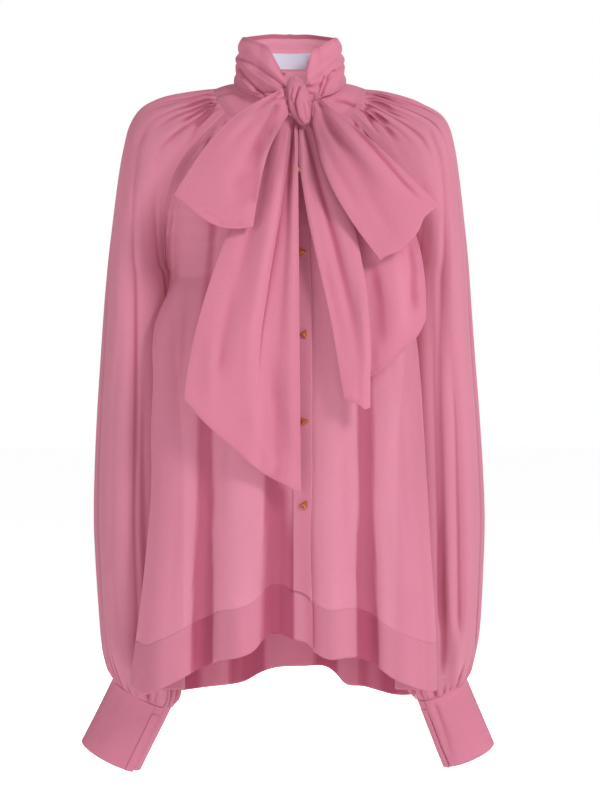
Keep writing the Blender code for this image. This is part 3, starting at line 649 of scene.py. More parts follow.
def crepe(name, colour, glow, see_through, lift=1.0):
    """Crepe: a fine pebbled grain, a soft bloom, light through it and a share that shows what is behind, with painted
    shade darkening its creases and a painted highlight on its crests multiplied into its colour.
    """
    material = bpy.data.materials.new(name)
    material.use_nodes = True
    tree = material.node_tree
    tree.nodes.clear()
    link = tree.links.new
    place = node(tree, "ShaderNodeTexCoord")
    grain = node(tree, "ShaderNodeTexNoise", Scale=1500.0, Detail=3.0, Roughness=0.6)
    cloud = node(tree, "ShaderNodeTexNoise", Scale=9.0, Detail=2.0, Roughness=0.5)
    pebble = node(tree, "ShaderNodeTexVoronoi", Scale=900.0)
    for texture in (grain, cloud, pebble):
        link(place.outputs["Object"], texture.inputs["Vector"])
    tones = tree.nodes.new("ShaderNodeValToRGB")
    tones.color_ramp.elements[0].position = 0.30
    tones.color_ramp.elements[1].position = 0.70
    tones.color_ramp.elements[0].color = (*[c * 0.90 for c in colour], 1)
    tones.color_ramp.elements[1].color = (*[min(c * 1.08 * lift, 1) for c in colour], 1)
    link(grain.outputs["Fac"], tones.inputs["Fac"])
    shades = tree.nodes.new("ShaderNodeValToRGB")
    shades.color_ramp.elements[0].position = 0.25
    shades.color_ramp.elements[1].position = 0.75
    shades.color_ramp.elements[0].color = (0.95, 0.93, 0.94, 1)
    shades.color_ramp.elements[1].color = (1.0, 1.0, 1.0, 1)
    link(cloud.outputs["Fac"], shades.inputs["Fac"])
    tint = tree.nodes.new("ShaderNodeMix")
    tint.data_type = "RGBA"
    tint.blend_type = "MULTIPLY"
    tint.inputs["Factor"].default_value = 1.0
    link(tones.outputs["Color"], tint.inputs["A"])
    link(shades.outputs["Color"], tint.inputs["B"])
    # Painted light and shade: the fold attribute picks a tint from the ramp that darkens creases and lightens crests,
    # multiplied into the colour
    folds = tree.nodes.new("ShaderNodeAttribute")
    folds.attribute_name = "fold"
    painted_shade_ramp = tree.nodes.new("ShaderNodeValToRGB")
    for position, painted_shade_tone in PAINTED_FOLD_SHADE_TONES:
        stop = painted_shade_ramp.color_ramp.elements.new(position)
        stop.color = (*painted_shade_tone, 1)
    painted_shade_ramp.color_ramp.elements.remove(painted_shade_ramp.color_ramp.elements[0])
    painted_shade_ramp.color_ramp.elements.remove(painted_shade_ramp.color_ramp.elements[-1])
    link(folds.outputs["Fac"], painted_shade_ramp.inputs["Fac"])
    painted_shade_mix = tree.nodes.new("ShaderNodeMix")
    painted_shade_mix.data_type = "RGBA"
    painted_shade_mix.blend_type = "MULTIPLY"
    painted_shade_mix.inputs["Factor"].default_value = 1.0
    link(tint.outputs["Result"], painted_shade_mix.inputs["A"])
    link(painted_shade_ramp.outputs["Color"], painted_shade_mix.inputs["B"])
    bump = node(tree, "ShaderNodeBump", Strength=0.35, Distance=0.00025)
    link(pebble.outputs["Distance"], bump.inputs["Height"])
    cloth = tree.nodes.new("ShaderNodeBsdfPrincipled")
    cloth.inputs["Roughness"].default_value = 0.9
    cloth.inputs["Specular IOR Level"].default_value = 0.2
    cloth.inputs["Sheen Weight"].default_value = 0.12
    cloth.inputs["Sheen Roughness"].default_value = 0.5
    link(painted_shade_mix.outputs["Result"], cloth.inputs["Base Color"])
    link(bump.outputs["Normal"], cloth.inputs["Normal"])
    through = tree.nodes.new("ShaderNodeBsdfTranslucent")
    link(painted_shade_mix.outputs["Result"], through.inputs["Color"])
    lit = node(tree, "ShaderNodeMixShader", Fac=glow)
    link(cloth.outputs["BSDF"], lit.inputs[1])
    link(through.outputs["BSDF"], lit.inputs[2])
    gaps = tree.nodes.new("ShaderNodeBsdfTransparent")
    sheer = node(tree, "ShaderNodeMixShader", Fac=see_through)
    link(lit.outputs["Shader"], sheer.inputs[1])
    link(gaps.outputs["BSDF"], sheer.inputs[2])
    output = tree.nodes.new("ShaderNodeOutputMaterial")
    link(sheer.outputs["Shader"], output.inputs["Surface"])
    return material


SINGLE = crepe("crepe_single", (0.68, 0.27, 0.37), 0.40, 0.12)
DOUBLE = crepe("crepe_double", (0.65, 0.24, 0.335), 0.30, 0.05)


def gold():
    material = bpy.data.materials.new("stud_gold")
    material.use_nodes = True
    tree = material.node_tree
    link = tree.links.new
    shader = tree.nodes["Principled BSDF"]
    shader.inputs["Metallic"].default_value = 1.0
    place = node(tree, "ShaderNodeTexCoord")
    wear = node(tree, "ShaderNodeTexNoise", Scale=260.0, Detail=4.0, Roughness=0.6)
    link(place.outputs["Object"], wear.inputs["Vector"])
    tones = tree.nodes.new("ShaderNodeValToRGB")
    tones.color_ramp.elements[0].color = (0.62, 0.33, 0.07, 1)
    tones.color_ramp.elements[1].color = (0.83, 0.52, 0.16, 1)
    link(wear.outputs["Fac"], tones.inputs["Fac"])
    link(tones.outputs["Color"], shader.inputs["Base Color"])
    rough = node(tree, "ShaderNodeMapRange")
    rough.inputs["To Min"].default_value = 0.18
    rough.inputs["To Max"].default_value = 0.34
    link(wear.outputs["Fac"], rough.inputs["Value"])
    link(rough.outputs["Result"], shader.inputs["Roughness"])
    return material


def woven_label():
    material = bpy.data.materials.new("label_satin")
    material.use_nodes = True
    tree = material.node_tree
    link = tree.links.new
    shader = tree.nodes["Principled BSDF"]
    shader.inputs["Roughness"].default_value = 0.6
    shader.inputs["Sheen Weight"].default_value = 0.2
    place = node(tree, "ShaderNodeTexCoord")
    weave = node(tree, "ShaderNodeTexWave", Scale=420.0, Distortion=1.5, Detail=1.0)
    weave.bands_direction = "Z"
    link(place.outputs["Object"], weave.inputs["Vector"])
    tones = tree.nodes.new("ShaderNodeValToRGB")
    tones.color_ramp.elements[0].color = (0.56, 0.62, 0.74, 1)
    tones.color_ramp.elements[1].color = (0.66, 0.72, 0.83, 1)
    link(weave.outputs["Fac"], tones.inputs["Fac"])
    link(tones.outputs["Color"], shader.inputs["Base Color"])
    bump = node(tree, "ShaderNodeBump", Strength=0.3, Distance=0.0001)
    link(weave.outputs["Fac"], bump.inputs["Height"])
    link(bump.outputs["Normal"], shader.inputs["Normal"])
    return material


GOLD_METAL = gold()
LABEL_SATIN = woven_label()


# Pieces
def turned(points, flip, side, width, gap=0.45, rows=4):
    """The grid with one edge turned under by a hem or a seam allowance. side is start, end, top or bottom."""
    grids = points if side in ("start", "end") else points.swapaxes(0, 1)
    outs = normals_of(points, flip)
    outs = outs if side in ("start", "end") else outs.swapaxes(0, 1)
    first = side in ("start", "top")
    edge, inner = (grids[:, 0], grids[:, 2]) if first else (grids[:, -1], grids[:, -3])
    out = outs[:, 1] if first else outs[:, -2]
    inwards = inner - edge
    inwards = inwards / np.maximum(np.linalg.norm(inwards, axis=-1, keepdims=True), 1e-9)
    flap = [edge - inwards * 0.25 - out * gap * 0.5]
    for step in np.linspace(0.12, 1, rows):
        flap.append(edge + inwards * width * step - out * gap * (1 + 0.3 * step))
    flap = np.stack(flap, axis=1)
    grids = np.concatenate([flap[:, ::-1], grids] if first else [grids, flap], axis=1)
    return grids if side in ("start", "end") else grids.swapaxes(0, 1)


def piece(name, nodes, points, material, flip=False, painted_shade_tone=0.0):
    """A sheet of cloth from a grid of points in millimetres, in the place of its CAD node."""
    rows, columns = points.shape[:2]
    faces = []
    index = np.arange(rows * columns).reshape(rows, columns)
    quads = np.stack([index[:-1, :-1], index[:-1, 1:], index[1:, 1:], index[1:, :-1]], axis=-1).reshape(-1, 4)
    faces = quads[:, ::-1] if flip else quads
    mesh = bpy.data.meshes.new(name)
    mesh.from_pydata((points.reshape(-1, 3) * MM).tolist(), [], faces.tolist())
    # Painted shade: each point's fold depth, shifted by the piece's offset, goes into the fold attribute to darken
    # creases and lighten crests
    painted_shade = painted_fold_shade(points, flip, painted_shade_tone).reshape(-1)
    colours = mesh.color_attributes.new("fold", "FLOAT_COLOR", "POINT")
    colours.data.foreach_set("color", np.repeat(painted_shade, 4).astype(np.float32))
    body = bmesh.new()
    body.from_mesh(mesh)
    bmesh.ops.remove_doubles(body, verts=body.verts, dist=0.00002)
    body.to_mesh(mesh)
    body.free()
    mesh.shade_smooth()
    mesh.materials.append(material)
    obj = bpy.data.objects.new(name + "_cloth", mesh)
    bpy.context.scene.collection.objects.link(obj)
    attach(obj, "root")
    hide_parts(*nodes)
    return obj


BODY_ROWS = np.concatenate([np.linspace(0, UNDERARM, 62), np.linspace(UNDERARM, 10, 118)[1:]])


def folded_body(station, share, behind):
    """The body with the finer gathers and folds of real crepe."""
    points = body_form(station, share, behind)
    place = share * (1.15 if behind else 1.0)
    height = gathers(31 if behind else 11, 26 if behind else 22, -1.0, 1.0, share, station, 5.0, 4.2)
    if not behind:
        height = height * (1 - hump(points[..., 0], 9, 14))
    long = np.zeros_like(height)
    draw = np.random.default_rng(77 if behind else 55)
    for centre in uneven(5 if behind else 3, 12, -0.86, 0.86):
        drift = draw.uniform(-0.05, 0.05)
        deep = draw.uniform(-1.6, 1.6)
        width = draw.uniform(0.022, 0.055)
        start = draw.uniform(0.8, 6.5)
        at = share - centre - drift * np.clip((station - start) / 6, 0, 1)
        long = long + deep * np.exp(-((at / width) ** 2)) * ease(start, start + 2.5, station)
    soft = ripple(9 if behind else 7, 5, 0.45, place * 9, np.minimum(station, 9) * 0.8 + (station - 9) * 9)
    height = (height + long + soft * ease(0, 2, station)) * (1 - ease(0.88, 0.99, np.abs(share)))
    return points + height[..., None] * outward(share, np.radians(80), behind)


def fine_panel(shares, stations, behind=False):
    rows = []
    for station, share in zip(stations, shares):
        share = np.asarray(share)
        top = band_station(0, share, behind)
        squeezed = UNDERARM + (station - UNDERARM) * (top - UNDERARM) if station > UNDERARM else station
        rows.append(folded_body(squeezed + 0 * share, share, behind))
    return np.array(rows)


def fine_band(shares, behind=False, rows=20):
    top = band_station(0, shares, behind)
    return np.array([folded_body(top + (10 - top) * t, shares, behind) for t in np.linspace(0, 1, rows)])


FRONT_CREASES = [
    ([(204, 520), (202, 600), (200, 690)], (11, 9), (-3.0, -9.0), (0.4, 0.0)),
    ([(238, 500), (240, 580), (241, 664)], (13, 12), (2.0, 6.0), (0.5, 0.0)),
    ([(281, 470), (278, 560), (275, 645)], (8, 8), (-3.0, -10.0), (0.4, 0.0)),
    ([(166, 480), (163, 600), (160, 694)], (14, 14), (1.5, 4.0), (0.5, 0.0)),
    ([(332, 500), (333, 580), (334, 655)], (12, 12), (1.5, 4.0), (0.5, 0.0)),
    ([(364, 500), (366, 580), (369, 668)], (10, 10), (-3.0, -9.0), (0.4, 0.0)),
    ([(404, 480), (408, 590), (411, 692)], (14, 14), (1.5, 4.5), (0.5, 0.0)),
    ([(206, 210), (207, 270), (206, 340)], (8, 13), (3.0, 1.6), (0.25, 0.4)),
    ([(190, 250), (182, 340), (176, 440)], (9, 13), (-2.0, -4.5), (0.4, 0.4)),
    ([(228, 420), (222, 480), (216, 540)], (9, 11), (-2.5, -2.5), (0.4, 0.4)),
    ([(262, 500), (256, 540), (252, 590)], (9, 11), (2.0, 2.0), (0.4, 0.4)),
    ([(392, 380), (388, 450), (386, 540)], (9, 12), (2.5, 2.5), (0.3, 0.4)),
    ([(346, 430), (346, 500), (350, 570)], (8, 10), (-2.5, -2.5), (0.3, 0.4)),
    ([(426, 300), (424, 400), (424, 500)], (7, 9), (-3.0, -3.0), (0.3, 0.4)),
    ([(214, 116), (205, 150), (196, 190)], (2.2, 5), (-3.0, -2.0), (0.0, 0.6)),
    ([(223, 115), (226, 132), (224, 160)], (2.0, 5), (-2.6, -1.6), (0.0, 0.6)),
    ([(363, 122), (372, 148), (380, 190)], (2.2, 5), (-3.0, -2.0), (0.0, 0.6)),
    ([(356, 124), (362, 142), (366, 170)], (2.0, 5), (-2.6, -1.6), (0.0, 0.6)),
]


def dress_body():
    right, left = [], []
    for station in BODY_ROWS:
        z = body_point(np.array([station]), np.array([0.0]))[0, 2]
        line = front_line(z)
        at = {reach: share_at(station, line + reach) for reach in (-13, -UNDERLAP, PLACKET_HALF_WIDTH, 13)}
        right.append([*np.linspace(-1, at[-13], 84), *np.linspace(at[-13], at[PLACKET_HALF_WIDTH], 9)[1:]])
        left.append([*np.linspace(at[-UNDERLAP], at[13], 8)[:-1], *np.linspace(at[13], 1, 84)])
    shares = np.linspace(-1, 1, 150)
    panels = {"front_right": fine_panel(right, BODY_ROWS), "front_left": fine_panel(left, BODY_ROWS)}
    bands = {"hem_band_right": fine_band(np.array(right[-1])), "hem_band_left": fine_band(np.array(left[-1]))}
    for group in (panels, bands):
        group_names = list(group)
        group[group_names[1]] = tuck_under(group[group_names[1]], LAP_DEPTH)
    for name, points in panels.items():
        reach = np.linspace(0, 1, points.shape[1])
        reach = 1 - reach if name.endswith("right") else reach
        points = creased(points, True, FRONT_CREASES, 1 - ease(0.90, 0.99, reach))
        panels[name] = points
        side = "start" if name.endswith("right") else "end"
        front = "end" if name.endswith("right") else "start"
        points = turned(turned(points, True, side, 9), True, front, 20 if front == "start" else 3)
        piece(name, [name], points, SINGLE, True)
    for name, points in bands.items():
        points = creased(points, True, FRONT_CREASES)
        side = "start" if name.endswith("right") else "end"
        points = turned(turned(points, True, side, 9), True, "top", 8)
        inner = points[::-1] - normals_of(points, True)[::-1] * 0.8
        points = np.concatenate([points, inner[:18]], axis=0)
        piece(name, [name], points, DOUBLE, True)
    back = fine_panel([shares] * len(BODY_ROWS), BODY_ROWS, behind=True)
    back_points = turned(turned(back, False, "start", 9), False, "end", 9)
    piece("back", ["back"], back_points, SINGLE, False)
    band = fine_band(shares, behind=True)
    points = turned(turned(turned(band, False, "start", 9), False, "end", 9), False, "top", 8)
    inner = points[::-1] - normals_of(points, False)[::-1] * 0.8
    points = np.concatenate([points, inner[:18]], axis=0)
    piece("hem_band_back", ["hem_band_back"], points, DOUBLE, False)
    return panels["front_right"]


def folded_sleeve(side, station, turn):
    points = sleeve_form(side, station, turn)
    middle = sleeve_point(side, station, turn * 0)
    inside = sleeve_point(side, station, np.ones_like(turn))
    centre = 0.5 * (middle + inside)
    centre[..., 1] = SLEEVE_CENTRE_Y
    away = points - centre
    away = away / np.linalg.norm(away, axis=-1, keepdims=True)
    seed = 200 if side == "right" else 300
    seam = 1 - ease(0.90, 0.99, np.abs(turn)) * (1 - ease(UNDERARM + 0.5, UNDERARM + 2, station))
    top = gathers(seed, 22, -1.0, 1.0, turn, station, 6.0, 5.0)
    low = gathers(seed + 7, 22, -1.0, 1.0, turn, CUFF_SEAM - station, 4.6, 5.5)
    long = np.zeros_like(top)
    draw = np.random.default_rng(seed + 9)
    for centre_at in uneven(seed + 3, 13, -0.95, 0.95):
        drift = draw.uniform(-0.08, 0.08)
        deep = draw.uniform(-2.0, 1.6)
        width = draw.uniform(0.018, 0.045)
        start = draw.uniform(2.0, 10.0)
        end = draw.uniform(15.0, 19.0)
        at = turn - centre_at - drift * (station - start) / 10
        lasts = ease(start, start + 3, station) * (1 - ease(end - 3, end, station))
        long = long + deep * np.exp(-((at / width) ** 2)) * lasts
    soft = ripple(seed + 5, 5, 0.5, turn * 7, station * 0.9)
    height = top * seam + low * 1.0 + (long + soft * ease(0, 2, station) * (1 - ease(17, 19, station))) * seam
    wrap = ease(0.93, 0.999, np.abs(turn)) * ease(UNDERARM + 0.4, UNDERARM + 2, station)
    height = height * (1 - wrap)
    return points + height[..., None] * away


SLEEVE_CREASES = {
    "right": [
        ([(146, 330), (143, 450), (146, 560), (148, 660)], (7, 7), (-2.5, -5.0), (0.3, 0.1)),
        ([(122, 300), (112, 420), (110, 560), (118, 650)], (6, 6), (-2.5, -3.5), (0.3, 0.1)),
        ([(132, 240), (128, 380), (128, 520), (133, 640)], (6, 8), (2.0, 3.0), (0.3, 0.1)),
        ([(150, 120), (136, 150), (130, 210)], (4, 8), (-2.2, -1.6), (0.2, 0.5)),
        ([(217, 98), (196, 102), (172, 112)], (1.8, 4), (-3.4, -1.8), (0.0, 0.6)),
        ([(215, 103), (192, 114), (168, 134)], (1.8, 4), (-3.6, -2.0), (0.0, 0.6)),
        ([(214, 107), (198, 124), (186, 146)], (1.8, 4), (-3.6, -2.0), (0.0, 0.6)),
        ([(216, 94), (200, 94), (180, 98)], (1.6, 3), (-2.6, -1.4), (0.0, 0.6)),
    ],
    "left": [
        ([(449, 310), (456, 420), (459, 560), (461, 650)], (5, 5), (-3.0, -5.0), (0.3, 0.1)),
        ([(467, 320), (471, 450), (470, 560), (468, 640)], (6, 6), (2.0, 2.6), (0.3, 0.1)),
        ([(432, 250), (434, 380), (438, 520), (442, 640)], (5, 6), (-3.0, -4.0), (0.3, 0.1)),
        ([(441, 260), (444, 400), (448, 540), (451, 640)], (5, 5), (2.2, 3.0), (0.3, 0.1)),
        ([(428, 120), (444, 160), (450, 220)], (4, 8), (-2.2, -1.6), (0.2, 0.5)),
        ([(365, 92), (384, 96), (404, 105)], (1.8, 4), (-3.2, -1.8), (0.0, 0.6)),
        ([(367, 97), (386, 106), (406, 122)], (1.8, 4), (-3.6, -2.0), (0.0, 0.6)),
        ([(367, 104), (384, 122), (400, 148)], (1.8, 4), (-3.6, -2.0), (0.0, 0.6)),
        ([(366, 110), (378, 134), (392, 166)], (1.8, 4), (-3.0, -2.0), (0.0, 0.6)),
    ],
}


def dress_sleeves():
    stations = np.concatenate([np.linspace(0, UNDERARM, 84), np.linspace(UNDERARM, CUFF_SEAM, 132)[1:]])
    turns = np.linspace(1, -1, 150)
    for side in ("right", "left"):
        points = np.array([folded_sleeve(side, np.full_like(turns, s), turns) for s in stations])
        below = stations > UNDERARM + 0.4
        points[below, -1] = points[below, 0]
        flip = side == "left"
        raglan = 1 - ease(UNDERARM, UNDERARM + 2, stations)
        seam_side = ease(0.90, 0.99, np.abs(turns))[None, :] * raglan[:, None]
        points = creased(points, flip, SLEEVE_CREASES[side], 1 - seam_side)
        tuck = 5.0 * hump(stations, UNDERARM + 1.0, 1.5)[:, None] * ease(0.55, 0.9, np.abs(turns))[None, :]
        points[..., 0] -= np.sign(points[..., 0]) * tuck
        points[below, -1] = points[below, 0]
        piece("sleeve_" + side, ["sleeve_" + side], points, SINGLE, flip)


CUFF_CREASES = {
    "right": [([(120, 690), (108, 720), (100, 745)], (5, 7), (-0.8, -0.5))],
    "left": [([(434, 700), (445, 730), (455, 765)], (3, 4), (-1.6, -1.0)),
             ([(428, 698), (437, 730), (446, 762)], (5, 5), (0.8, 0.6))],
}


def dress_cuffs():
    for side in ("right", "left"):
        top, down, across, front, half_width = cuff_frame(side)
        start = CUFF_EDGE[side]
        turns = np.linspace(start, start + 360 + CUFF_OVERLAP, 200)
        length, turn = grid(np.linspace(0, 1, 34) * CUFF_HEIGHT, turns)
        spiral = CUFF_LAYERS * (1 - (turn - start) / (360 + CUFF_OVERLAP))
        turn = np.radians(turn)
        grow = 1 + 0.03 * length / CUFF_HEIGHT
        soft = ripple(40 if side == "left" else 41, 4, 0.35, turn * 1.5, length / 30)
        wide = -(half_width * grow - 2 + spiral + soft) * np.cos(turn)
        squared = np.sign(np.sin(turn)) * np.abs(np.sin(turn)) ** 0.9
        deep = (CUFF_HALF_DEPTH * grow - 2 + spiral + soft) * squared
        points = top + down * length[..., None] + across * wide[..., None] + front * deep[..., None]
        flip = side == "left"
        points = creased(points, flip, CUFF_CREASES[side])
        points = turned(turned(points, flip, "start", 10), flip, "end", 10)
        inner = points[::-1] - normals_of(points, flip)[::-1] * 0.9
        points = np.concatenate([points, inner[:30]], axis=0)
        piece("cuff_" + side, ["cuff_" + side], points, DOUBLE, flip)


YOKE_CREASES = [
    ([(214, 96), (232, 92), (253, 99)], (3, 3), (-2.2, -1.2), (0.1, 0.3)),
    ([(357, 106), (345, 101), (329, 99)], (3, 3), (-2.2, -1.2), (0.1, 0.3)),
]


def dress_yoke():
    angles = np.linspace(-177.6, 177.6, 260)
    angles = np.where(angles < 0, -180 - angles, 180 - angles)
    share, angle = grid(np.linspace(0, 1, 26), angles)
    edge, neck = yoke_edge(angle), neck_seam(angle)
    points = edge + (neck - edge) * share[..., None]
    points[..., 2] += 1.5 * np.sin(np.pi * share)
    points = creased(points, True, YOKE_CREASES)
    points = turned(points, True, "top", 8)
    piece("yoke", ["yoke"], points, DOUBLE, True)


COLLAR_CREASES = [
    ([(236, 57), (248, 62), (258, 67), (272, 77), (283, 86)], (1.9, 1.9), (-2.6, -3.4), (0.15, 0.0), 1.6),
    ([(236, 66), (243, 75), (250, 83), (259, 92), (266, 98)], (1.8, 1.8), (-3.2, -3.2), (0.1, 0.0), 1.6),
    ([(252, 88), (262, 92), (274, 92)], (1.6, 1.6), (-2.2, -2.4), (0.2, 0.0)),
    ([(242, 46), (256, 55), (272, 70), (284, 80)], (4.5, 3.0), (1.6, 1.8), (0.2, 0.0)),
    ([(240, 62), (252, 72), (268, 84), (280, 90)], (3.2, 2.6), (2.0, 1.6), (0.2, 0.0)),
    ([(238, 76), (246, 84), (258, 96)], (3.0, 2.6), (1.6, 1.6), (0.2, 0.0)),
    ([(336, 69), (330, 76), (325, 87), (321, 98)], (1.7, 1.7), (-3.2, -3.0), (0.1, 0.1), 1.2),
    ([(326, 75), (322, 84), (319, 97)], (1.5, 1.6), (-2.6, -2.4), (0.15, 0.1)),
    ([(303, 82), (312, 86), (322, 84), (334, 72)], (1.8, 1.8), (-3.0, -1.6), (0.0, 0.3)),
    ([(343, 48), (330, 60), (316, 72), (305, 80)], (5.0, 3.2), (2.2, 1.8), (0.2, 0.0)),
    ([(345, 62), (340, 76), (334, 90), (330, 99)], (3.2, 3.0), (2.0, 1.6), (0.2, 0.1)),
    ([(304, 90), (312, 93), (322, 97)], (1.5, 1.6), (-2.2, -1.8), (0.0, 0.3)),
]


def dress_collar():
    share, angle = grid(np.linspace(0, 1, 90), np.linspace(*COLLAR_ENDS, 360))
    points = collar_form(share, angle)
    near, turn = np.minimum(angle, 360 - angle), np.radians(angle)
    climb = share - 0.45 * (1 - ease(0, 95, near)) * share
    folds = 2.4 * np.sin(2 * np.pi * (2.6 * climb + 0.1)) * (1 - ease(90, 170, near))
    long = np.zeros_like(share)
    for low, high, deep in ((0.30, 0.62, -1.7), (0.52, 0.86, -1.4), (0.12, 0.30, -1.2), (0.42, 0.74, 1.2)):
        at = low + (high - low) * ease(20, 175, near)
        long = long + deep * hump(share, at, 0.045) * ease(30, 75, near) * (1 - 0.75 * ease(120, 175, near))
    shift = long - 0.72 * folds
    points[..., 0] += shift * np.sin(turn)
    points[..., 1] -= shift * np.cos(turn)
    points[..., 2] -= 4.0 * share * hump(near, 180, 16)
    points = creased(points, False, COLLAR_CREASES)
    points = turned(turned(points, False, "top", 5), False, "bottom", 5)
    piece("tie_collar", ["tie_collar"], points, DOUBLE, False)


KNOT_CREASES = [
    ([(301, 84), (297, 92), (294, 102), (297, 117), (303, 126)], (1.5, 1.5), (-2.6, -2.6), (0.05, 0.05), -1.8),
    ([(293, 84), (290, 96), (292, 110), (297, 121)], (1.3, 1.3), (-1.4, -1.4), (0.15, 0.1)),
    ([(309, 100), (313, 112), (312, 122)], (1.4, 1.4), (-2.2, -1.8), (0.15, 0.1)),
    ([(303, 100), (305, 112), (308, 122)], (1.2, 1.4), (-1.2, -1.2), (0.2, 0.1)),
    ([(292, 78), (299, 79), (304, 84)], (1.2, 1.2), (-1.6, -1.6), (0.1, 0.1)),
]


def dress_knot():
    rows, columns = 90, 150
    tilt, turn = grid(np.linspace(0.02, np.pi - 0.02, rows), np.linspace(-np.pi, np.pi, columns + 1))
    p = stack(np.sin(tilt) * np.sin(turn), -np.sin(tilt) * np.cos(turn), np.cos(tilt))
    z = p[..., 2]
    size = 1.0 + 0.025 * np.sin(5 * z + 2 * turn) * (1 - z**2)
    size = size - 0.06 * hump(z, 0.62, 0.25) * hump(turn, 0.0, 0.9)
    matrix = np.array(knot_matrix())
    points = p * (size - 0.03)[..., None] * np.array(KNOT_RADII)
    points = points @ matrix[:3, :3].T + matrix[:3, 3] / MM
    points = creased(points, True, KNOT_CREASES)
    points[:, -1] = points[:, 0]
    piece("knot", ["knot"], points, DOUBLE, True)


LOOP_CREASES = {
    "right": [
        ([(284, 96), (257, 122), (231, 158), (212, 196)], (4, 15), (1.5, 5.0), (0.1, 0.3)),
        ([(277, 106), (271, 124), (258, 147), (244, 166)], (3.0, 12), (-6.0, -5.0), (0.0, 0.4)),
        ([(244, 166), (240, 186), (246, 210)], (12, 10), (-3.0, -2.0), (0.3, 0.3)),
        ([(268, 120), (263, 160), (259, 206)], (4, 5), (1.0, 4.0), (0.2, 0.1)),
        ([(280, 93), (264, 104), (246, 120)], (1.8, 5), (-3.0, -1.6), (0.0, 0.5)),
        ([(284, 98), (276, 98), (270, 101)], (1.4, 2.5), (-2.6, -1.2), (0.0, 0.5)),
        ([(196, 208), (222, 222), (250, 224)], (3, 3), (-1.4, -1.6), (0.2, 0.2)),
    ],
    "left": [
        ([(318, 100), (324, 114), (334, 134), (346, 160)], (2.4, 9), (-5.0, -3.0), (0.0, 0.4)),
        ([(324, 104), (352, 138), (382, 176), (404, 204)], (4, 13), (2.0, 4.0), (0.1, 0.4)),
        ([(312, 116), (322, 148), (340, 190), (358, 224)], (4, 11), (2.5, 3.5), (0.0, 0.4)),
        ([(310, 124), (314, 140), (322, 160)], (2, 5), (-3.0, -2.0), (0.0, 0.5)),
        ([(334, 134), (358, 172), (384, 214), (392, 240)], (8, 10), (-2.5, -2.0), (0.2, 0.3)),
        ([(340, 112), (372, 146), (404, 182), (424, 202)], (2.5, 3.5), (-2.0, -2.4), (0.2, 0.2)),
        ([(312, 98), (318, 104), (326, 108)], (1.4, 2.5), (-2.6, -1.4), (0.0, 0.5)),
    ],
}
# How far the folded end of each loop bulges out in its middle, and which way
LOOP_ENDS = {"right": (9.0, -0.334, -0.943), "left": (9.0, 0.67, -0.744)}


def fine_loop(side, along, across):
    points = loop_form(side, along, across)
    bulge, x, z = LOOP_ENDS[side]
    out = np.sin(np.pi * along)
    if side == "right":
        rise = np.sin(np.pi * across**1.25)
    else:
        rise = ease(0.2, 0.5, across) * (1 - ease(0.72, 1, across))
    points[..., 0] += bulge * x * rise * out**5
    points[..., 2] += bulge * z * rise * out**5
    return points


def dress_loops():
    for side in ("right", "left"):
        along = 0.5 + 0.5 * np.sin(np.linspace(-1, 1, 150) * np.pi / 2) * 0.985
        along, across = grid(along, np.linspace(0, 1, 100))
        points = fine_loop(side, along, across)
        flip = side == "right"
        points = creased(points, flip, LOOP_CREASES[side], 1 - ease(0.42, 0.52, along))
        points = turned(turned(points, flip, "start", 4), flip, "end", 4)
        piece("bow_loop_" + side, ["bow_loop_" + side], points, DOUBLE,
              flip)


TAIL_CREASES = {
    "right": [
        ([(293, 120), (290, 151), (287, 181), (282, 215), (273, 265), (262, 330), (254, 420)],
         (2.4, 9), (-4.5, -4.5), (0.0, 0.35), 2.0),
        ([(283, 112), (278, 150), (272, 210), (256, 290), (240, 380)], (4.5, 15), (3.0, 4.5), (0.0, 0.4)),
        ([(296, 126), (295, 170), (293, 230), (289, 300), (284, 400)], (3, 9), (2.4, 3.0), (0.0, 0.4)),
        ([(276, 118), (266, 150), (258, 200), (246, 250), (232, 310)], (3, 10), (-3.0, -3.5), (0.1, 0.5)),
        ([(236, 270), (226, 330), (214, 390)], (8, 10), (-2.0, -3.0), (0.4, 0.3)),
        ([(270, 330), (276, 400), (290, 470)], (7, 10), (-3.0, -3.0), (0.4, 0.2)),
        ([(216, 330), (212, 370), (212, 412)], (6, 9), (2.0, 2.0), (0.4, 0.3)),
        ([(252, 400), (262, 440), (276, 476)], (8, 9), (3.0, 3.0), (0.4, 0.2)),
        ([(287, 108), (284, 114), (282, 124)], (1.3, 2.5), (-3.0, -1.4), (0.0, 0.4)),
    ],
    "left": [
        ([(301, 132), (304, 180), (314, 232), (330, 310), (346, 390)], (3, 8), (2.4, 2.4), (0.0, 0.2)),
        ([(306, 130), (318, 180), (335, 240), (352, 310), (364, 380)], (3, 8), (-4.0, -3.0), (0.0, 0.3)),
        ([(362, 262), (366, 320), (368, 380)], (5, 5), (2.0, 2.4), (0.3, 0.2)),
        ([(372, 250), (380, 300), (384, 360)], (6, 9), (-3.5, -2.5), (0.3, 0.3)),
        ([(392, 240), (400, 290), (402, 340)], (7, 9), (2.5, 2.5), (0.3, 0.3)),
        ([(408, 230), (414, 270), (414, 320)], (5, 7), (-2.4, -2.4), (0.3, 0.3)),
        ([(322, 250), (334, 310), (346, 372)], (5, 7), (-2.0, -2.0), (0.3, 0.3)),
    ],
}


def dress_tails():
    for side in ("right", "left"):
        down, across = grid(np.linspace(0, 1, 150) ** 1.15, np.linspace(0, 1, 130))
        points = tail_form(side, down, across)
        if side == "left":
            points[..., 0] -= 9 * (1 - across) ** 4 * ease(0.0, 0.15, down) * (1 - ease(0.3, 0.8, down))
        points = creased(points, True, TAIL_CREASES[side])
        points = turned(turned(turned(points, True, "start", 4), True, "end", 4), True, "bottom", 5)
        # The tails are painted a little lighter all over by the offset of their painted shade
        piece("bow_tail_" + side, ["bow_tail_" + side], points, DOUBLE,
              True, painted_shade_tone=-0.06)


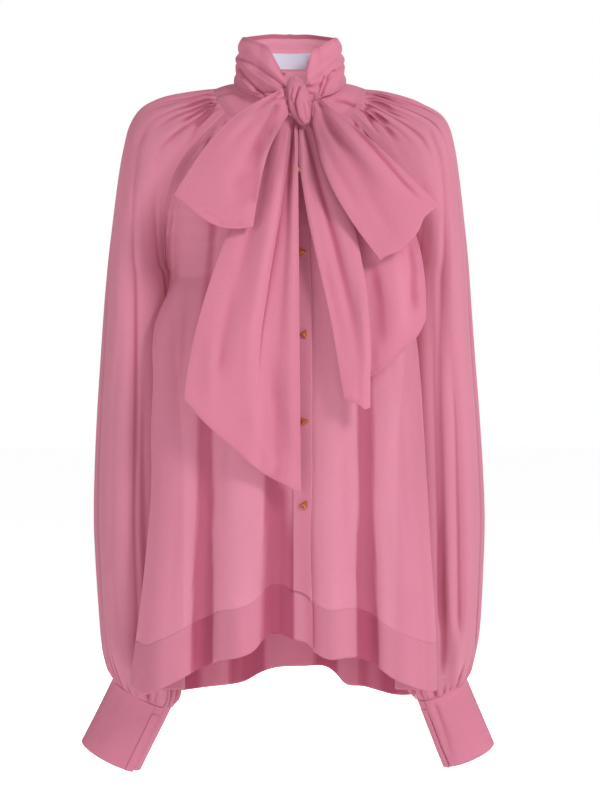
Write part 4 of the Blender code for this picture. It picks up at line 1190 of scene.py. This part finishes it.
def dress_placket(front):
    edge = PLACKET_HALF_WIDTH - 0.3
    strip = []
    for row in front[3:]:
        line = front_line(np.interp(front_line(row[0, 2]), row[:, 0], row[:, 2]))
        xs = line + np.linspace(-PLACKET_HALF_WIDTH, edge, 12)
        strip.append(stack(*(np.interp(xs, row[:, 0], row[:, k]) for k in range(3))) - (0, PLACKET_RISE, 0))
    points = turned(turned(np.array(strip), True, "start", 6), True, "end", 20)
    piece("placket", ["placket"], points, DOUBLE, True)


def dress_label():
    width, height, _ = LABEL_SIZE
    half_turn = np.degrees(width / 2 / COLLAR_RADII[0])
    angles = np.linspace(180 - half_turn, 180 + half_turn, 30)
    z, angle = grid(LABEL_Z + height * np.linspace(-0.5, 0.5, 12), angles)
    low, high = COLLAR("low", 180), COLLAR("high_left", 180)
    points = collar_form((z - low) / (high - low), angle)
    points[..., 2] = z
    points[..., :2] -= (TIE_WALL + LABEL_GAP) * stack(np.sin(np.radians(angle)), -np.cos(np.radians(angle)))
    points = turned(turned(points, False, "start", 5), False, "end", 5)
    piece("label", ["label"], points, LABEL_SATIN, False)


dress_placket(dress_body())
dress_sleeves()
dress_cuffs()
dress_yoke()
dress_collar()
dress_knot()
dress_loops()
dress_tails()
dress_label()
for name in STUDS:
    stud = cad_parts[name]
    stud.data.materials.clear()
    stud.data.materials.append(GOLD_METAL)


# Camera, floor and light
camera_data = bpy.data.cameras.new("camera")
camera = bpy.data.objects.new("camera", camera_data)
bpy.context.scene.collection.objects.link(camera)
camera.location = (VIEW_X * MM, -VIEW_DISTANCE * MM, VIEW_Z * MM)
camera.rotation_euler = (np.radians(90), 0, 0)
camera_data.sensor_fit = "VERTICAL"
camera_data.sensor_height = 24
camera_data.lens = 80
bpy.context.scene.camera = camera

FLOOR_Z = -0.95
floor_mesh = bpy.data.meshes.new("floor")
floor_corners = [(x, y, FLOOR_Z) for x, y in ((-30, -30), (30, -30), (30, 30), (-30, 30))]
floor_mesh.from_pydata(floor_corners, [], [(0, 1, 2, 3)])
floor = bpy.data.objects.new("floor", floor_mesh)
bpy.context.scene.collection.objects.link(floor)
paper = bpy.data.materials.new("floor_white")
paper.use_nodes = True
paper.node_tree.nodes["Principled BSDF"].inputs["Base Color"].default_value = (0.9, 0.9, 0.9, 1)
paper.node_tree.nodes["Principled BSDF"].inputs["Roughness"].default_value = 0.9
paper.node_tree.nodes["Principled BSDF"].inputs["Emission Color"].default_value = (1, 1, 1, 1)
paper.node_tree.nodes["Principled BSDF"].inputs["Emission Strength"].default_value = 0.64
floor_mesh.materials.append(paper)

world = bpy.data.worlds.new("studio")
bpy.context.scene.world = world
world.use_nodes = True
world.node_tree.nodes["Background"].inputs["Color"].default_value = (1, 1, 1, 1)
ambient = world.node_tree.nodes.new("ShaderNodeMath")
ambient.operation = "MULTIPLY_ADD"
ambient.inputs[1].default_value = 0.62
ambient.inputs[2].default_value = 0.38
seen_by = world.node_tree.nodes.new("ShaderNodeLightPath")
world.node_tree.links.new(seen_by.outputs["Is Camera Ray"], ambient.inputs[0])
world.node_tree.links.new(ambient.outputs["Value"], world.node_tree.nodes["Background"].inputs["Strength"])


def area_light(name, place, size, power):
    light = bpy.data.lights.new(name, "AREA")
    light.size = size
    light.energy = power
    obj = bpy.data.objects.new(name, light)
    bpy.context.scene.collection.objects.link(obj)
    obj.location = place
    aim = Vector((0, 0, -0.35)) - Vector(place)
    obj.rotation_euler = aim.to_track_quat("-Z", "Y").to_euler()


area_light("key", (2.1, -2.4, 1.5), 0.9, 105)
area_light("fill", (-2.2, -2.6, 0.2), 1.6, 22)
area_light("rim", (0.4, 2.6, 0.8), 1.8, 55)
bpy.context.scene.view_settings.view_transform = "Standard"
